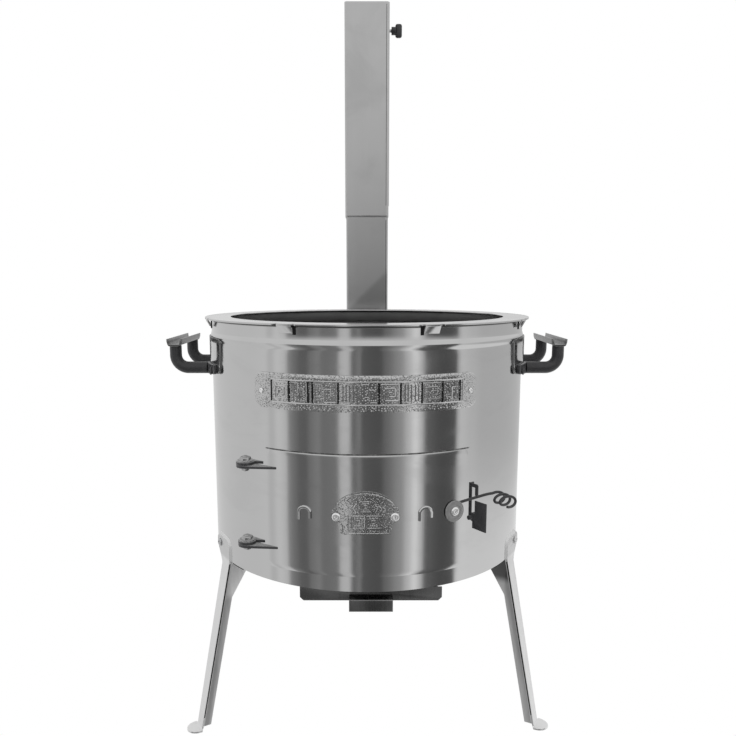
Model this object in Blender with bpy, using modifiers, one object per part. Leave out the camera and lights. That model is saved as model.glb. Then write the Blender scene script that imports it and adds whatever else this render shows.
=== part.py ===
"""Kazan stove: a round steel firebox on three legs, with a lift-off support ring,
a hinged and latched door, an ash drawer, two carrying handles and a square chimney.

Metres, +Z up. The stove's front faces -Y. An azimuth is an angle round the stove's own
vertical axis, zero at the front and growing towards +X. The origin is on the floor,
under the middle of the whole object.
"""
import math

import bmesh
import bpy
from mathutils import Matrix, Vector

GAP = 0.0004
SHEET = 0.0015
ROUND_STEPS = 96

# Firebox wall
WALL_RADIUS = 0.200
WALL_BOTTOM = 0.2154
WALL_TOP = 0.5076
BEAD_MIDDLE = 0.4870
BEAD_HEIGHT = 0.0115
BEAD_DEPTH = 0.0012

# Support ring
RING_TOP = 0.510
RING_SHEET = 0.002
RING_RADIUS = 0.2077
RING_HOLE = 0.176
TAB_COUNT = 8
TAB_FIRST = -25.3
TAB_WIDTH = 0.018
TAB_DROP = 0.0105
TAB_FOOT_RADIUS = 0.2010

# Firebox door and its opening
DOOR_LEFT = -33.7
DOOR_RIGHT = 34.0
DOOR_LOW = 0.2335
DOOR_HIGH = 0.3700
DOOR_CORNER = 0.005
DOOR_LAP_ANGLE = 3.1
DOOR_LAP = 0.010

# Hinges
PIN_X = -0.1368
PIN_Y = -0.1622
HINGE_LEVELS = {"upper": 0.3480, "lower": 0.2555}
LUG_SHEET = 0.003
LUG_ROUND = 0.0105
LUG_TIP = -0.0136
PIN_RADIUS = 0.003
PIN_HEAD = 0.0066
WASHER_RADIUS = 0.0092

# Latch
LATCH_AZIMUTH = 28.0
LATCH_HEIGHT = 0.3025
LATCH_DISC = 0.0122
WIRE = 0.0016
WIRE_OFFSET = 0.2040
EYE_RADIUS = 0.0066
EYE_SWEEP = 285.0
LEVER_RISE = 8.9
LEVER_LEAN = 0.1156
LEAN_START = 0.0125
LEVER_REACH = 0.0440
COIL_TURNS = 2.7
COIL_POINTS = 10
COIL_START = 125.0
COIL_MIDDLE = Vector((0.0559, -0.0048, 0.0093))
COIL_STEP = Vector((0.0044, -0.0045, -0.0020))
COIL_WIDE = 0.0091
COIL_TALL = 0.0056
CATCH_AZIMUTH = 35.2
CATCH_SHEET = 0.0012
SLOT_RADIUS = 0.2072
SLOT_HALF = 0.0033
SLOT_INNER = 0.2048

# Plates with ornament
NAME_LEFT = -38.8
NAME_RIGHT = 37.3
NAME_LOW = 0.4165
NAME_HIGH = 0.4560
NAME_SHEET = 0.0010
NAME_CORNER = 0.012
NAME_RIVETS = (-35.3, 34.5)
EMBLEM_AZIMUTH = -0.42
EMBLEM_LOW = 0.2820
EMBLEM_TOP = 0.3305
EMBLEM_DOME_HALF = 0.0370
EMBLEM_BASE_HALF = 0.0265
EMBLEM_SLANT_HALF = 0.0300
EMBLEM_EAR = 0.0062
EMBLEM_RIVET_REACH = 0.0314
EMBLEM_RIVET_HEIGHT = 0.3018

# Handles
HANDLE_REACH = 0.241
HANDLE_SPREAD = 0.0445
HANDLE_TUBE = 0.0074
HANDLE_BEND = 0.0155
HANDLE_LOW = 0.4465
HANDLE_TIP = 0.4742
HANDLE_PLATE_HALF = 31.0
HANDLE_PLATE_LOW = 0.4445
HANDLE_PLATE_HIGH = 0.4865
HANDLE_PLATE_SEAT = WALL_RADIUS + BEAD_DEPTH + GAP
HANDLE_PLATE_CORNER = 0.013
HANDLE_FOOT_RISE = 0.005
HANDLE_FOOT_NEAR = 11.0
HANDLE_FOOT_FAR = 28.0
HANDLE_RIVET = 24.0
GRIP_HALF_LENGTH = 0.054
GRIP_FLOOR_HALF = 0.0078
GRIP_LIP_HALF = 0.0092
GRIP_HEIGHT = 0.0068

# Legs
LEG_AZIMUTHS = {"left": -58.7, "right": 61.3, "rear": 181.3}
LEG_LEANS = {"left": -0.0088, "right": 0.0045, "rear": 0.0}
LEG_SPLAY = 10.4
LEG_SHEET = 0.002
LEG_FOLD = 0.010
LEG_BOLT_SHIFT = -0.0195
LEG_BOLT_HEIGHT = 0.2320
GUSSET_WIDTH = 0.0285
WEB_WIDTH = 0.0095
GUSSET_DROP = 0.0465
FOOT_LENGTH = 0.018
FOOT_HALF = 0.012

# Floor, grate and ash drawer
ASH_HOLE = 0.065
GRATE_RADIUS = 0.090
GRATE_HEIGHT = 0.008
GRATE_SLOTS = 7
DRAWER_MIDDLE = 0.0045
DRAWER_FRONT = -0.185
DRAWER_FRONT_HALF = 0.080
DRAWER_FRONT_LOW = 0.1988
TRAY_HALF = 0.0735
TRAY_LOW = 0.2030
TRAY_HIGH = 0.2125
TRAY_BACK = 0.080
PULL_HALF = 0.0243
PULL_LEVEL = 0.2063
PULL_REACH = 0.015
PULL_DROP = 0.014

# Chimney
CHIMNEY_Y = 0.2548
TUBE_LOWER = 0.0655
TUBE_UPPER = 0.0685
TUBE_WALL = 0.0010
TUBE_CORNER = 0.004
SOCKET = 0.0700
FLUE_BOX_LOW = 0.3300
FLUE_BOX_HIGH = 0.4050
SOCKET_HIGH = 0.4450
TUBE_JOINT = 0.6545
TUBE_LAP = 0.040
CHIMNEY_TOP = 0.9734
DAMPER_HEIGHT = 0.9417
DAMPER_HALF = 0.0292
SHAFT_RADIUS = 0.0025
KNOB_START = 0.0386
KNOB_HUB = 0.0072
KNOB_END = 0.0550
KNOB_HALF = 0.0103

# The stove's axis stands in front of the origin by half of what the chimney adds behind
STOVE_Y = (RING_RADIUS - (CHIMNEY_Y + SOCKET / 2)) / 2

STEEL = ((0.62, 0.62, 0.61), 0.28, 1.0)
BRUSHED = ((0.52, 0.52, 0.51), 0.38, 1.0)
BLACK = ((0.035, 0.035, 0.037), 0.45, 0.0)
DARK_IRON = ((0.09, 0.088, 0.085), 0.7, 0.6)
ZINC = ((0.55, 0.56, 0.57), 0.35, 1.0)


def clear_scene():
    for item in list(bpy.data.objects):
        bpy.data.objects.remove(item, do_unlink=True)


def make_collection(name):
    collection = bpy.data.collections.new(name)
    bpy.context.scene.collection.children.link(collection)
    return collection


def finish(item, look):
    """Give one object its own material."""
    colour, roughness, metallic = look
    material = bpy.data.materials.new(item.name)
    material.use_nodes = True
    shader = material.node_tree.nodes["Principled BSDF"]
    shader.inputs["Base Color"].default_value = (*colour, 1.0)
    shader.inputs["Roughness"].default_value = roughness
    shader.inputs["Metallic"].default_value = metallic
    item.data.materials.append(material)
    return item


def add_object(name, data, collection):
    item = bpy.data.objects.new(name, data)
    collection.objects.link(item)
    return item


def mesh_object(name, bm, collection):
    mesh = bpy.data.meshes.new(name)
    bm.to_mesh(mesh)
    bm.free()
    return add_object(name, mesh, collection)


def as_guide(item):
    """A cutter or a joined shape shows as wire and isn't rendered."""
    item.hide_render = True
    item.display_type = "WIRE"
    return item


def boolean(item, other, operation):
    modifier = item.modifiers.new(operation.title(), "BOOLEAN")
    modifier.operation = operation
    modifier.solver = "EXACT"
    modifier.object = as_guide(other)
    return item


def cut(item, *cutters):
    for cutter in cutters:
        boolean(item, cutter, "DIFFERENCE")
    return item


def join(item, *others):
    for other in others:
        boolean(item, other, "UNION")
    return item


def smooth(item, angle=35.0):
    item.data.shade_smooth()
    item.data.set_sharp_from_angle(angle=math.radians(angle))
    return item


def around(item, azimuth=0.0):
    """Stand an object, modelled with its outside towards -Y, round the stove's axis."""
    item.location = (0.0, STOVE_Y, 0.0)
    item.rotation_euler = (0.0, 0.0, math.radians(azimuth))
    return item


def on_axis(azimuth, radius, height=0.0):
    """A point by azimuth, radius and height, measured from the stove's axis."""
    angle = math.radians(azimuth)
    return Vector((radius * math.sin(angle), -radius * math.cos(angle), height))


def box(name, low, high, collection):
    low, high = Vector(low), Vector(high)
    bm = bmesh.new()
    bmesh.ops.create_cube(bm, size=1.0)
    size = high - low
    bmesh.ops.transform(bm, matrix=Matrix.Diagonal((*size, 1.0)), verts=bm.verts)
    bmesh.ops.translate(bm, vec=(low + high) / 2, verts=bm.verts)
    return mesh_object(name, bm, collection)


def rod(name, radius, start, end, collection, sides=12):
    """A round bar between two points."""
    start, end = Vector(start), Vector(end)
    axis = end - start
    bm = bmesh.new()
    bmesh.ops.create_cone(bm, cap_ends=True, segments=sides, radius1=radius,
                          radius2=radius, depth=axis.length)
    turn = axis.to_track_quat("Z", "Y").to_matrix().to_4x4()
    bmesh.ops.transform(bm, matrix=Matrix.Translation((start + end) / 2) @ turn, verts=bm.verts)
    return mesh_object(name, bm, collection)


def radial_rod(name, radius, azimuth, height, inner, outer, collection, sides=12):
    """A round bar that points straight out from the stove's axis."""
    item = rod(name, radius, (0.0, -inner, height), (0.0, -outer, height), collection, sides)
    return around(item, azimuth)


def turned(name, profile, collection, steps=ROUND_STEPS, closed=False):
    """A profile of (radius, height) points, outer side running down, turned round Z."""
    bm = bmesh.new()
    verts = [bm.verts.new((radius, 0.0, height)) for radius, height in profile]
    for first, second in zip(verts, verts[1:]):
        bm.edges.new((first, second))
    if closed:
        bm.edges.new((verts[-1], verts[0]))
    item = mesh_object(name, bm, collection)
    screw = item.modifiers.new("Turn", "SCREW")
    screw.steps = steps
    screw.render_steps = steps
    screw.use_merge_vertices = True
    screw.merge_threshold = 0.00001
    screw.use_smooth_shade = True
    return item


def flat_plate(name, outline, thickness, level, collection):
    """A plate of the given XY outline, from level up to level plus thickness."""
    bm = bmesh.new()
    face = bm.faces.new([bm.verts.new((x, y, level)) for x, y in outline])
    face.normal_update()
    if face.normal.z < 0:
        face.normal_flip()
    item = mesh_object(name, bm, collection)
    solidify(item, thickness)
    return item


def solidify(item, thickness, offset=1.0):
    modifier = item.modifiers.new("Thickness", "SOLIDIFY")
    modifier.thickness = thickness
    modifier.offset = offset
    modifier.use_even_offset = True
    return modifier


def rounded_stations(left, right, low, high, corner, radius, step=3.75):
    """Azimuths with their lowest and highest points, for a plate with round corners."""
    corner_angle = math.degrees(corner / radius)
    stations = []
    for k in range(4):
        turn = math.radians(30.0 * k)
        stations.append((left + corner_angle * (1 - math.cos(turn)), corner * (1 - math.sin(turn))))
    inner_left, inner_right = left + corner_angle, right - corner_angle
    count = max(1, round((inner_right - inner_left) / step))
    for k in range(1, count):
        stations.append((inner_left + (inner_right - inner_left) * k / count, 0.0))
    mirrored = [(left + right - azimuth, inset) for azimuth, inset in reversed(stations[:4])]
    return [(azimuth, low + inset, high - inset) for azimuth, inset in stations + mirrored]


def curved_plate(name, radius, thickness, stations, collection):
    """A sheet bent round the stove's axis, its inner face at the given radius."""
    bm = bmesh.new()
    columns = []
    for azimuth, low, high in stations:
        columns.append((bm.verts.new(on_axis(azimuth, radius, low)),
                        bm.verts.new(on_axis(azimuth, radius, high))))
    for (low0, high0), (low1, high1) in zip(columns, columns[1:]):
        bm.faces.new((low0, low1, high1, high0))
    item = mesh_object(name, bm, collection)
    solidify(item, thickness)
    item.location = (0.0, STOVE_Y, 0.0)
    return item


def bent_strip(name, stations, thickness, collection):
    """A strip through (y, z, left, right) stations, thickened on its outer side."""
    bm = bmesh.new()
    rows = []
    for y, z, left, right in stations:
        rows.append((bm.verts.new((left, y, z)), bm.verts.new((right, y, z))))
    for (left0, right0), (left1, right1) in zip(rows, rows[1:]):
        bm.faces.new((left0, left1, right1, right0))
    item = mesh_object(name, bm, collection)
    solidify(item, thickness)
    return item


def square_loop(half, corner, points=4):
    """A square outline with round corners, anticlockwise."""
    loop = []
    for quarter in range(4):
        middle = Matrix.Rotation(math.radians(90 * quarter), 2) @ Vector((half - corner, half - corner))
        for k in range(points):
            angle = math.radians(90 * quarter + 90 * k / (points - 1))
            loop.append(middle + corner * Vector((math.cos(angle), math.sin(angle))))
    return loop


def square_tube(name, width, low, high, wall, collection, corner=TUBE_CORNER):
    """An upright square tube, open at both ends, its outer width given."""
    bm = bmesh.new()
    loop = square_loop(width / 2, corner)
    lower = [bm.verts.new((x, y, low)) for x, y in loop]
    upper = [bm.verts.new((x, y, high)) for x, y in loop]
    count = len(loop)
    for k in range(count):
        bm.faces.new((lower[k], lower[(k + 1) % count], upper[(k + 1) % count], upper[k]))
    item = mesh_object(name, bm, collection)
    solidify(item, wall, offset=-1.0)
    item.location = (0.0, STOVE_Y + CHIMNEY_Y, 0.0)
    return item


def wire(name, points, radius, collection, resolution=1):
    """A round wire through the points, as a mesh with its caps welded."""
    curve = bpy.data.curves.new(name, "CURVE")
    curve.dimensions = "3D"
    curve.bevel_depth = radius
    curve.bevel_resolution = resolution
    curve.use_fill_caps = True
    spline = curve.splines.new("POLY")
    spline.points.add(len(points) - 1)
    for point, place in zip(spline.points, points):
        point.co = (*place, 1.0)
    drawn = add_object(name + "_line", curve, collection)
    bpy.context.view_layer.update()
    depsgraph = bpy.context.evaluated_depsgraph_get()
    mesh = bpy.data.meshes.new_from_object(drawn.evaluated_get(depsgraph))
    place = drawn.matrix_world.copy()
    bpy.data.objects.remove(drawn, do_unlink=True)
    bm = bmesh.new()
    bm.from_mesh(mesh)
    bmesh.ops.remove_doubles(bm, verts=bm.verts, dist=0.00001)
    bm.to_mesh(mesh)
    bm.free()
    item = add_object(name, mesh, collection)
    item.matrix_world = place
    return item


def pivot(name, place, collection, parent=None):
    """An empty on a joint's axis, which carries the pieces that move with it."""
    empty = add_object(name, None, collection)
    empty.empty_display_size = 0.03
    empty.location = place
    if parent:
        attach(empty, parent)
    return empty


def attach(item, empty):
    """Parent an object to an empty without moving it."""
    place = empty.location.copy()
    holder = empty
    item.parent = empty
    if holder.parent is None:
        item.matrix_parent_inverse = Matrix.Translation(place).inverted()
    else:
        item.matrix_parent_inverse = Matrix.Translation(holder["world_place"]).inverted()
    if item.type == "EMPTY":
        item["world_place"] = item.location.copy()
    return item


def blind_rivet(name, azimuth, height, seat, tail, collection, head=0.0046, shank=0.0020, shift=0.0):
    """A blind rivet pointing out from the wall: flange with its hollow, and shank."""
    rise = head * 0.34
    profile = [
        (0.0, rise * 0.35), (head * 0.28, rise * 0.35), (head * 0.40, rise), (head * 0.66, rise),
        (head * 0.93, rise * 0.5), (head, 0.0), (shank, 0.0), (shank, tail - seat), (0.0, tail - seat),
    ]
    item = turned(name, profile, collection, steps=16)
    place = on_axis(azimuth, seat, height) + on_axis(azimuth + 90.0, shift)
    item.location = Vector((0.0, STOVE_Y, 0.0)) + place
    item.rotation_euler = (math.radians(90), 0.0, math.radians(azimuth))
    return item


def rivet_hole(name, azimuth, height, guides, radius=0.0024, inner=0.190, outer=0.215, shift=0.0):
    item = rod(name, radius, (shift, -inner, height), (shift, -outer, height), guides)
    return around(item, azimuth)


def make_body_shell(parts, guides):
    """Wall with its rolled bead, turned as one closed section, then opened."""
    top_of_bead = BEAD_MIDDLE + BEAD_HEIGHT / 2
    shape = ((0.0, 0.5), (0.68, 0.31), (1.0, 0.0), (0.68, -0.31), (0.0, -0.5))
    bead = [(BEAD_DEPTH * bulge, BEAD_MIDDLE + BEAD_HEIGHT * rise) for bulge, rise in shape]
    outer = [(WALL_RADIUS, WALL_TOP)] + [(WALL_RADIUS + bulge, z) for bulge, z in bead]
    outer.append((WALL_RADIUS, WALL_BOTTOM))
    inner = [(radius - SHEET, z) for radius, z in reversed(outer)]
    shell = turned("body_shell", outer + inner, parts, closed=True)
    shell.location = (0.0, STOVE_Y, 0.0)
    assert top_of_bead < WALL_TOP

    opening = rounded_stations(DOOR_LEFT + DOOR_LAP_ANGLE, DOOR_RIGHT - DOOR_LAP_ANGLE,
                               DOOR_LOW + DOOR_LAP, DOOR_HIGH - DOOR_LAP, DOOR_CORNER, WALL_RADIUS)
    door_cutter = curved_plate("door_opening", WALL_RADIUS - 0.02, 0.04, opening, guides)
    half = TUBE_LOWER / 2 - 0.004
    flue_cutter = box("flue_opening", (-half, STOVE_Y + 0.18, FLUE_BOX_LOW + 0.006),
                      (half, STOVE_Y + 0.22, FLUE_BOX_HIGH - 0.006), guides)
    return cut(shell, door_cutter, flue_cutter)


def make_support_ring(parts, guides):
    """Flat ring with tabs bent down from its outer edge, which centre it on the wall."""
    under = RING_TOP - RING_SHEET
    profile = [(RING_HOLE, RING_TOP), (RING_RADIUS, RING_TOP), (RING_RADIUS, under), (RING_HOLE, under)]
    ring = turned("support_ring", profile, parts, closed=True)
    ring.location = (0.0, STOVE_Y, 0.0)
    half = TAB_WIDTH / 2
    for k in range(TAB_COUNT):
        low = RING_TOP - TAB_DROP
        stations = [
            (-(RING_RADIUS - 0.0022), under + 0.0008, -half, half),
            (-TAB_FOOT_RADIUS, low, -half, half),
        ]
        tab = bent_strip(f"ring_tab_{k + 1}", stations, SHEET, guides)
        around(tab, TAB_FIRST + 45.0 * k)
        join(ring, tab)
    return ring


def make_door(parts, guides):
    stations = rounded_stations(DOOR_LEFT, DOOR_RIGHT, DOOR_LOW, DOOR_HIGH, DOOR_CORNER, WALL_RADIUS)
    return curved_plate("door_panel", WALL_RADIUS + GAP, SHEET, stations, parts)


def lug_round(start, stop, steps=6):
    """Points round the hinge pin, from one angle to another in degrees."""
    points = []
    for k in range(steps + 1):
        angle = math.radians(start + (stop - start) * k / steps)
        points.append((PIN_X + LUG_ROUND * math.cos(angle), PIN_Y + LUG_ROUND * math.sin(angle)))
    return points


def make_hinge(side, level, parts, guides):
    """One hinge: lug on the door, lug on the wall above it, bolt and nut."""
    wall_side = WALL_RADIUS + GAP
    skin_side = WALL_RADIUS + GAP + SHEET + GAP
    body_outline = [tuple(on_axis(azimuth, wall_side)[:2]) for azimuth in (-35.5, -38.5, -41.5, -44.5)]
    body_outline += lug_round(150, 360, 9)
    body_level = level + LUG_SHEET + GAP
    body_lug = flat_plate(f"{side}_body_lug", body_outline, LUG_SHEET, body_level, parts)
    front = PIN_Y + LUG_TIP
    tip = -math.sqrt(skin_side ** 2 - front ** 2)
    door_outline = [(tip, front)]
    door_outline += [tuple(on_axis(azimuth, skin_side)[:2]) for azimuth in (-30.2, -32.0, -33.6)]
    door_outline += [tuple(on_axis(-35.6, skin_side + 0.0006)[:2])]
    door_outline += lug_round(50, 270, 8)
    door_lug = flat_plate(f"{side}_door_lug", door_outline, LUG_SHEET, level, parts)

    top = body_level + LUG_SHEET + GAP
    shank_end = level - 0.0052
    head = [
        (0.0, 0.0062), (PIN_HEAD * 0.45, 0.0060), (PIN_HEAD * 0.8, 0.0051), (PIN_HEAD, 0.0037),
        (PIN_HEAD, 0.0013), (WASHER_RADIUS, 0.0012), (WASHER_RADIUS, 0.0), (PIN_RADIUS, 0.0),
        (PIN_RADIUS, shank_end - top), (0.0, shank_end - top),
    ]
    bolt = turned(f"{side}_hinge_bolt", head, parts, steps=18)
    bolt.location = (PIN_X, STOVE_Y + PIN_Y, top)

    nut = rod(f"{side}_hinge_nut", 0.0048, (0, 0, level - GAP - 0.0035), (0, 0, level - GAP), parts, sides=6)
    for item in (body_lug, door_lug):
        item.location = (0.0, STOVE_Y, 0.0)
    nut.location = (PIN_X, STOVE_Y + PIN_Y, 0.0)
    hole = rod(f"{side}_pin_hole", PIN_RADIUS + GAP, (0, 0, level - 0.02), (0, 0, level + 0.02), guides)
    hole.location = (PIN_X, STOVE_Y + PIN_Y, 0.0)
    for item in (body_lug, door_lug, nut):
        cut(item, hole)
    return {"body": [body_lug, bolt, nut], "door": [door_lug]}


def lever_points():
    """The lever's wire: eye round the bushing, straight run, then the wound grip."""
    points = []
    rise = math.radians(LEVER_RISE)
    leave = rise + math.radians(90)
    eye_steps = 12
    for k in range(eye_steps + 1):
        angle = leave + math.radians(EYE_SWEEP) * (1 - k / eye_steps)
        points.append(Vector((EYE_RADIUS * math.cos(angle), 0.0, EYE_RADIUS * math.sin(angle))))
    along = Vector((math.cos(rise), 0.0, math.sin(rise)))
    last = points[-1]
    for reach in (LEAN_START, 0.5 * (LEAN_START + LEVER_REACH), LEVER_REACH):
        place = last + along * (reach - last.x) / along.x
        place.y = -LEVER_LEAN * (reach - LEAN_START)
        points.append(place)

    total = round(COIL_TURNS * COIL_POINTS)
    for k in range(total + 1):
        turns = k / COIL_POINTS
        angle = math.radians(COIL_START) - turns * 2 * math.pi
        middle = COIL_MIDDLE + COIL_STEP * turns
        points.append(middle + Vector((COIL_WIDE * math.cos(angle), 0.0, COIL_TALL * math.sin(angle))))
    return points


def least_gap(points, diameter, skip=0.011):
    """Smallest clear space between stretches of one wire that aren't neighbours along it."""
    travelled = [0.0]
    for first, second in zip(points, points[1:]):
        travelled.append(travelled[-1] + (second - first).length)
    dense = []
    for k in range(len(points) - 1):
        for share in (0.0, 0.25, 0.5, 0.75):
            dense.append((points[k].lerp(points[k + 1], share),
                          travelled[k] + share * (travelled[k + 1] - travelled[k])))
    best = math.inf
    for k, (place, along) in enumerate(dense):
        for other, beyond in dense[k + 1:]:
            if beyond - along > skip:
                best = min(best, (other - place).length)
    return best - diameter


def make_latch(parts, guides):
    """Bushing, wire lever, disc and rivet on the door; black slotted catch on the wall."""
    seat = WALL_RADIUS + GAP + SHEET + GAP
    disc_back = WIRE_OFFSET + WIRE + GAP
    bushing = radial_rod("latch_bushing", EYE_RADIUS - WIRE - GAP, LATCH_AZIMUTH, LATCH_HEIGHT,
                         seat, disc_back - GAP, parts, sides=20)
    disc = radial_rod("latch_disc", LATCH_DISC, LATCH_AZIMUTH, LATCH_HEIGHT,
                      disc_back, disc_back + SHEET, parts, sides=32)
    rivet = blind_rivet("latch_rivet", LATCH_AZIMUTH, LATCH_HEIGHT, disc_back + SHEET + GAP,
                        WALL_RADIUS - 0.002, parts)
    hole = rivet_hole("latch_rivet_hole", LATCH_AZIMUTH, LATCH_HEIGHT, guides)
    for item in (bushing, disc):
        cut(item, hole)

    points = lever_points()
    print("latch_lever least gap to itself: %.2f mm" % (1000 * least_gap(points, 2 * WIRE)))
    lever = wire("latch_lever", points, WIRE, parts)
    lever.rotation_euler = (0.0, 0.0, math.radians(LATCH_AZIMUTH))
    lever.location = Vector((0.0, STOVE_Y, 0.0)) + on_axis(LATCH_AZIMUTH, WIRE_OFFSET, LATCH_HEIGHT)
    return {"door": [bushing, disc, rivet], "lever": lever, "hole": hole}


def make_catch(parts, guides):
    """Slotted catch standing out from the wall, open at the side where the lever passes."""
    inner, outer = WALL_RADIUS + GAP + 0.0002, 0.2285
    rail = SLOT_RADIUS + SLOT_HALF
    guard = rail + 0.0043
    outline = [
        (inner, 0.3304), (guard - 0.0015, 0.3304), (guard, 0.3290), (guard, 0.3171), (rail, 0.3171),
        (rail, 0.3262), (SLOT_INNER, 0.3262), (SLOT_INNER, 0.2960),
        (rail, 0.2960), (rail, 0.3112), (outer, 0.3114), (outer, 0.2785), (0.2070, 0.2785),
        (0.2070, 0.2862), (inner, 0.2880),
    ]
    bm = bmesh.new()
    bm.faces.new([bm.verts.new((0.0, -radius, z)) for radius, z in outline])
    catch = mesh_object("latch_catch", bm, parts)
    solidify(catch, CATCH_SHEET, offset=0.0)
    around(catch, CATCH_AZIMUTH)
    low_foot = box("catch_low_foot", (-0.0005, -(inner + SHEET), 0.2884), (0.009, -inner, 0.2940), guides)
    high_foot = box("catch_high_foot", (-0.0005, -(inner + SHEET), 0.3266), (0.006, -inner, 0.3302), guides)
    for foot in (low_foot, high_foot):
        around(foot, CATCH_AZIMUTH)
    boss = rod("catch_boss", 0.0026, (-0.0042, -0.2046, 0.2905), (0.0, -0.2046, 0.2905), guides)
    around(boss, CATCH_AZIMUTH)
    return join(catch, low_foot, high_foot, boss)


def emblem_stations():
    """Domed plate with a round ear for a rivet at each end, by azimuth."""
    stations = []
    reach = EMBLEM_RIVET_REACH + EMBLEM_EAR
    marks = [reach * 0.998, reach - 0.0008, reach - 0.0026, reach - 0.0050, EMBLEM_SLANT_HALF,
             0.5 * (EMBLEM_SLANT_HALF + EMBLEM_BASE_HALF), EMBLEM_BASE_HALF, 0.0225, 0.0170, 0.0113, 0.0057]
    for mark in [-value for value in marks] + [0.0] + list(reversed(marks)):
        away = abs(mark)
        ear = EMBLEM_EAR * math.sqrt(max(0.0, 1 - ((away - EMBLEM_RIVET_REACH) / EMBLEM_EAR) ** 2))
        dome = math.sqrt(max(0.0, 1 - (away / EMBLEM_DOME_HALF) ** 2))
        high = EMBLEM_RIVET_HEIGHT + max(ear, (EMBLEM_TOP - EMBLEM_RIVET_HEIGHT) * dome)
        low = EMBLEM_RIVET_HEIGHT - ear
        if away <= EMBLEM_BASE_HALF:
            low = EMBLEM_LOW
        elif away < EMBLEM_SLANT_HALF:
            share = (away - EMBLEM_BASE_HALF) / (EMBLEM_SLANT_HALF - EMBLEM_BASE_HALF)
            low = EMBLEM_LOW + (low - EMBLEM_LOW) * share
        stations.append((EMBLEM_AZIMUTH + math.degrees(mark / WALL_RADIUS), low, high))
    return stations


def make_plates(parts, guides, shell, door):
    """Name plate on the wall and emblem plate on the door, each with two rivets."""
    pieces = {"body": [], "door": []}
    stations = rounded_stations(NAME_LEFT, NAME_RIGHT, NAME_LOW, NAME_HIGH, NAME_CORNER, WALL_RADIUS)
    name_plate = curved_plate("name_plate", WALL_RADIUS + GAP, NAME_SHEET, stations, parts)
    seat = WALL_RADIUS + GAP + NAME_SHEET + GAP
    middle = (NAME_LOW + NAME_HIGH) / 2 - 0.0010
    for side, azimuth in zip(("left", "right"), NAME_RIVETS):
        rivet = blind_rivet(f"name_rivet_{side}", azimuth, middle, seat, WALL_RADIUS - SHEET - 0.001,
                            parts, head=0.0030, shank=0.0014)
        hole = rivet_hole(f"name_rivet_hole_{side}", azimuth, middle, guides, radius=0.0018)
        cut(name_plate, hole)
        cut(shell, hole)
        pieces["body"].append(rivet)
    pieces["body"].append(name_plate)

    skin = WALL_RADIUS + GAP + SHEET + GAP
    emblem = curved_plate("emblem_plate", skin, NAME_SHEET, emblem_stations(), parts)
    spread = math.degrees(EMBLEM_RIVET_REACH / WALL_RADIUS)
    for side, sign in (("left", -1), ("right", 1)):
        azimuth = EMBLEM_AZIMUTH + sign * spread
        rivet = blind_rivet(f"emblem_rivet_{side}", azimuth, EMBLEM_RIVET_HEIGHT,
                            skin + NAME_SHEET + GAP, WALL_RADIUS - 0.001, parts)
        hole = rivet_hole(f"emblem_rivet_hole_{side}", azimuth, EMBLEM_RIVET_HEIGHT, guides)
        cut(emblem, hole)
        cut(door, hole)
        pieces["door"].append(rivet)
    pieces["door"].append(emblem)
    return pieces


def make_handle_arm(name, side, end, parts, guides):
    """Bent tube that rises to the grip, welded to a foot that follows the wall."""
    y = HANDLE_SPREAD * end
    start = 0.2005
    points = [Vector((start, y, HANDLE_LOW))]
    centre = HANDLE_REACH - HANDLE_BEND
    for k in range(7):
        angle = math.radians(-90 + 15 * k)
        points.append(Vector((centre + HANDLE_BEND * math.cos(angle), y,
                              HANDLE_LOW + HANDLE_BEND + HANDLE_BEND * math.sin(angle))))
    points.append(Vector((HANDLE_REACH, y, HANDLE_TIP)))
    points = [Vector((side * point.x, point.y, point.z)) for point in points]
    arm = wire(name, points, HANDLE_TUBE, parts, resolution=2)
    arm.location = (0.0, STOVE_Y, 0.0)

    middle = 90.0 * side
    near, far = HANDLE_FOOT_NEAR * end * side, HANDLE_FOOT_FAR * end * side
    left, right = sorted((middle + near, middle + far))
    stations = []
    for azimuth, low, high in rounded_stations(left, right, HANDLE_LOW - HANDLE_TUBE,
                                               HANDLE_LOW + HANDLE_TUBE, 0.0045, WALL_RADIUS):
        share = (azimuth - middle - near) / (far - near)
        stations.append((azimuth, low + HANDLE_FOOT_RISE * share, high + 0.001 * share))
    foot = curved_plate(name + "_foot", HANDLE_PLATE_SEAT + SHEET + GAP, 0.003, stations, guides)
    return join(arm, foot)


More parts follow.
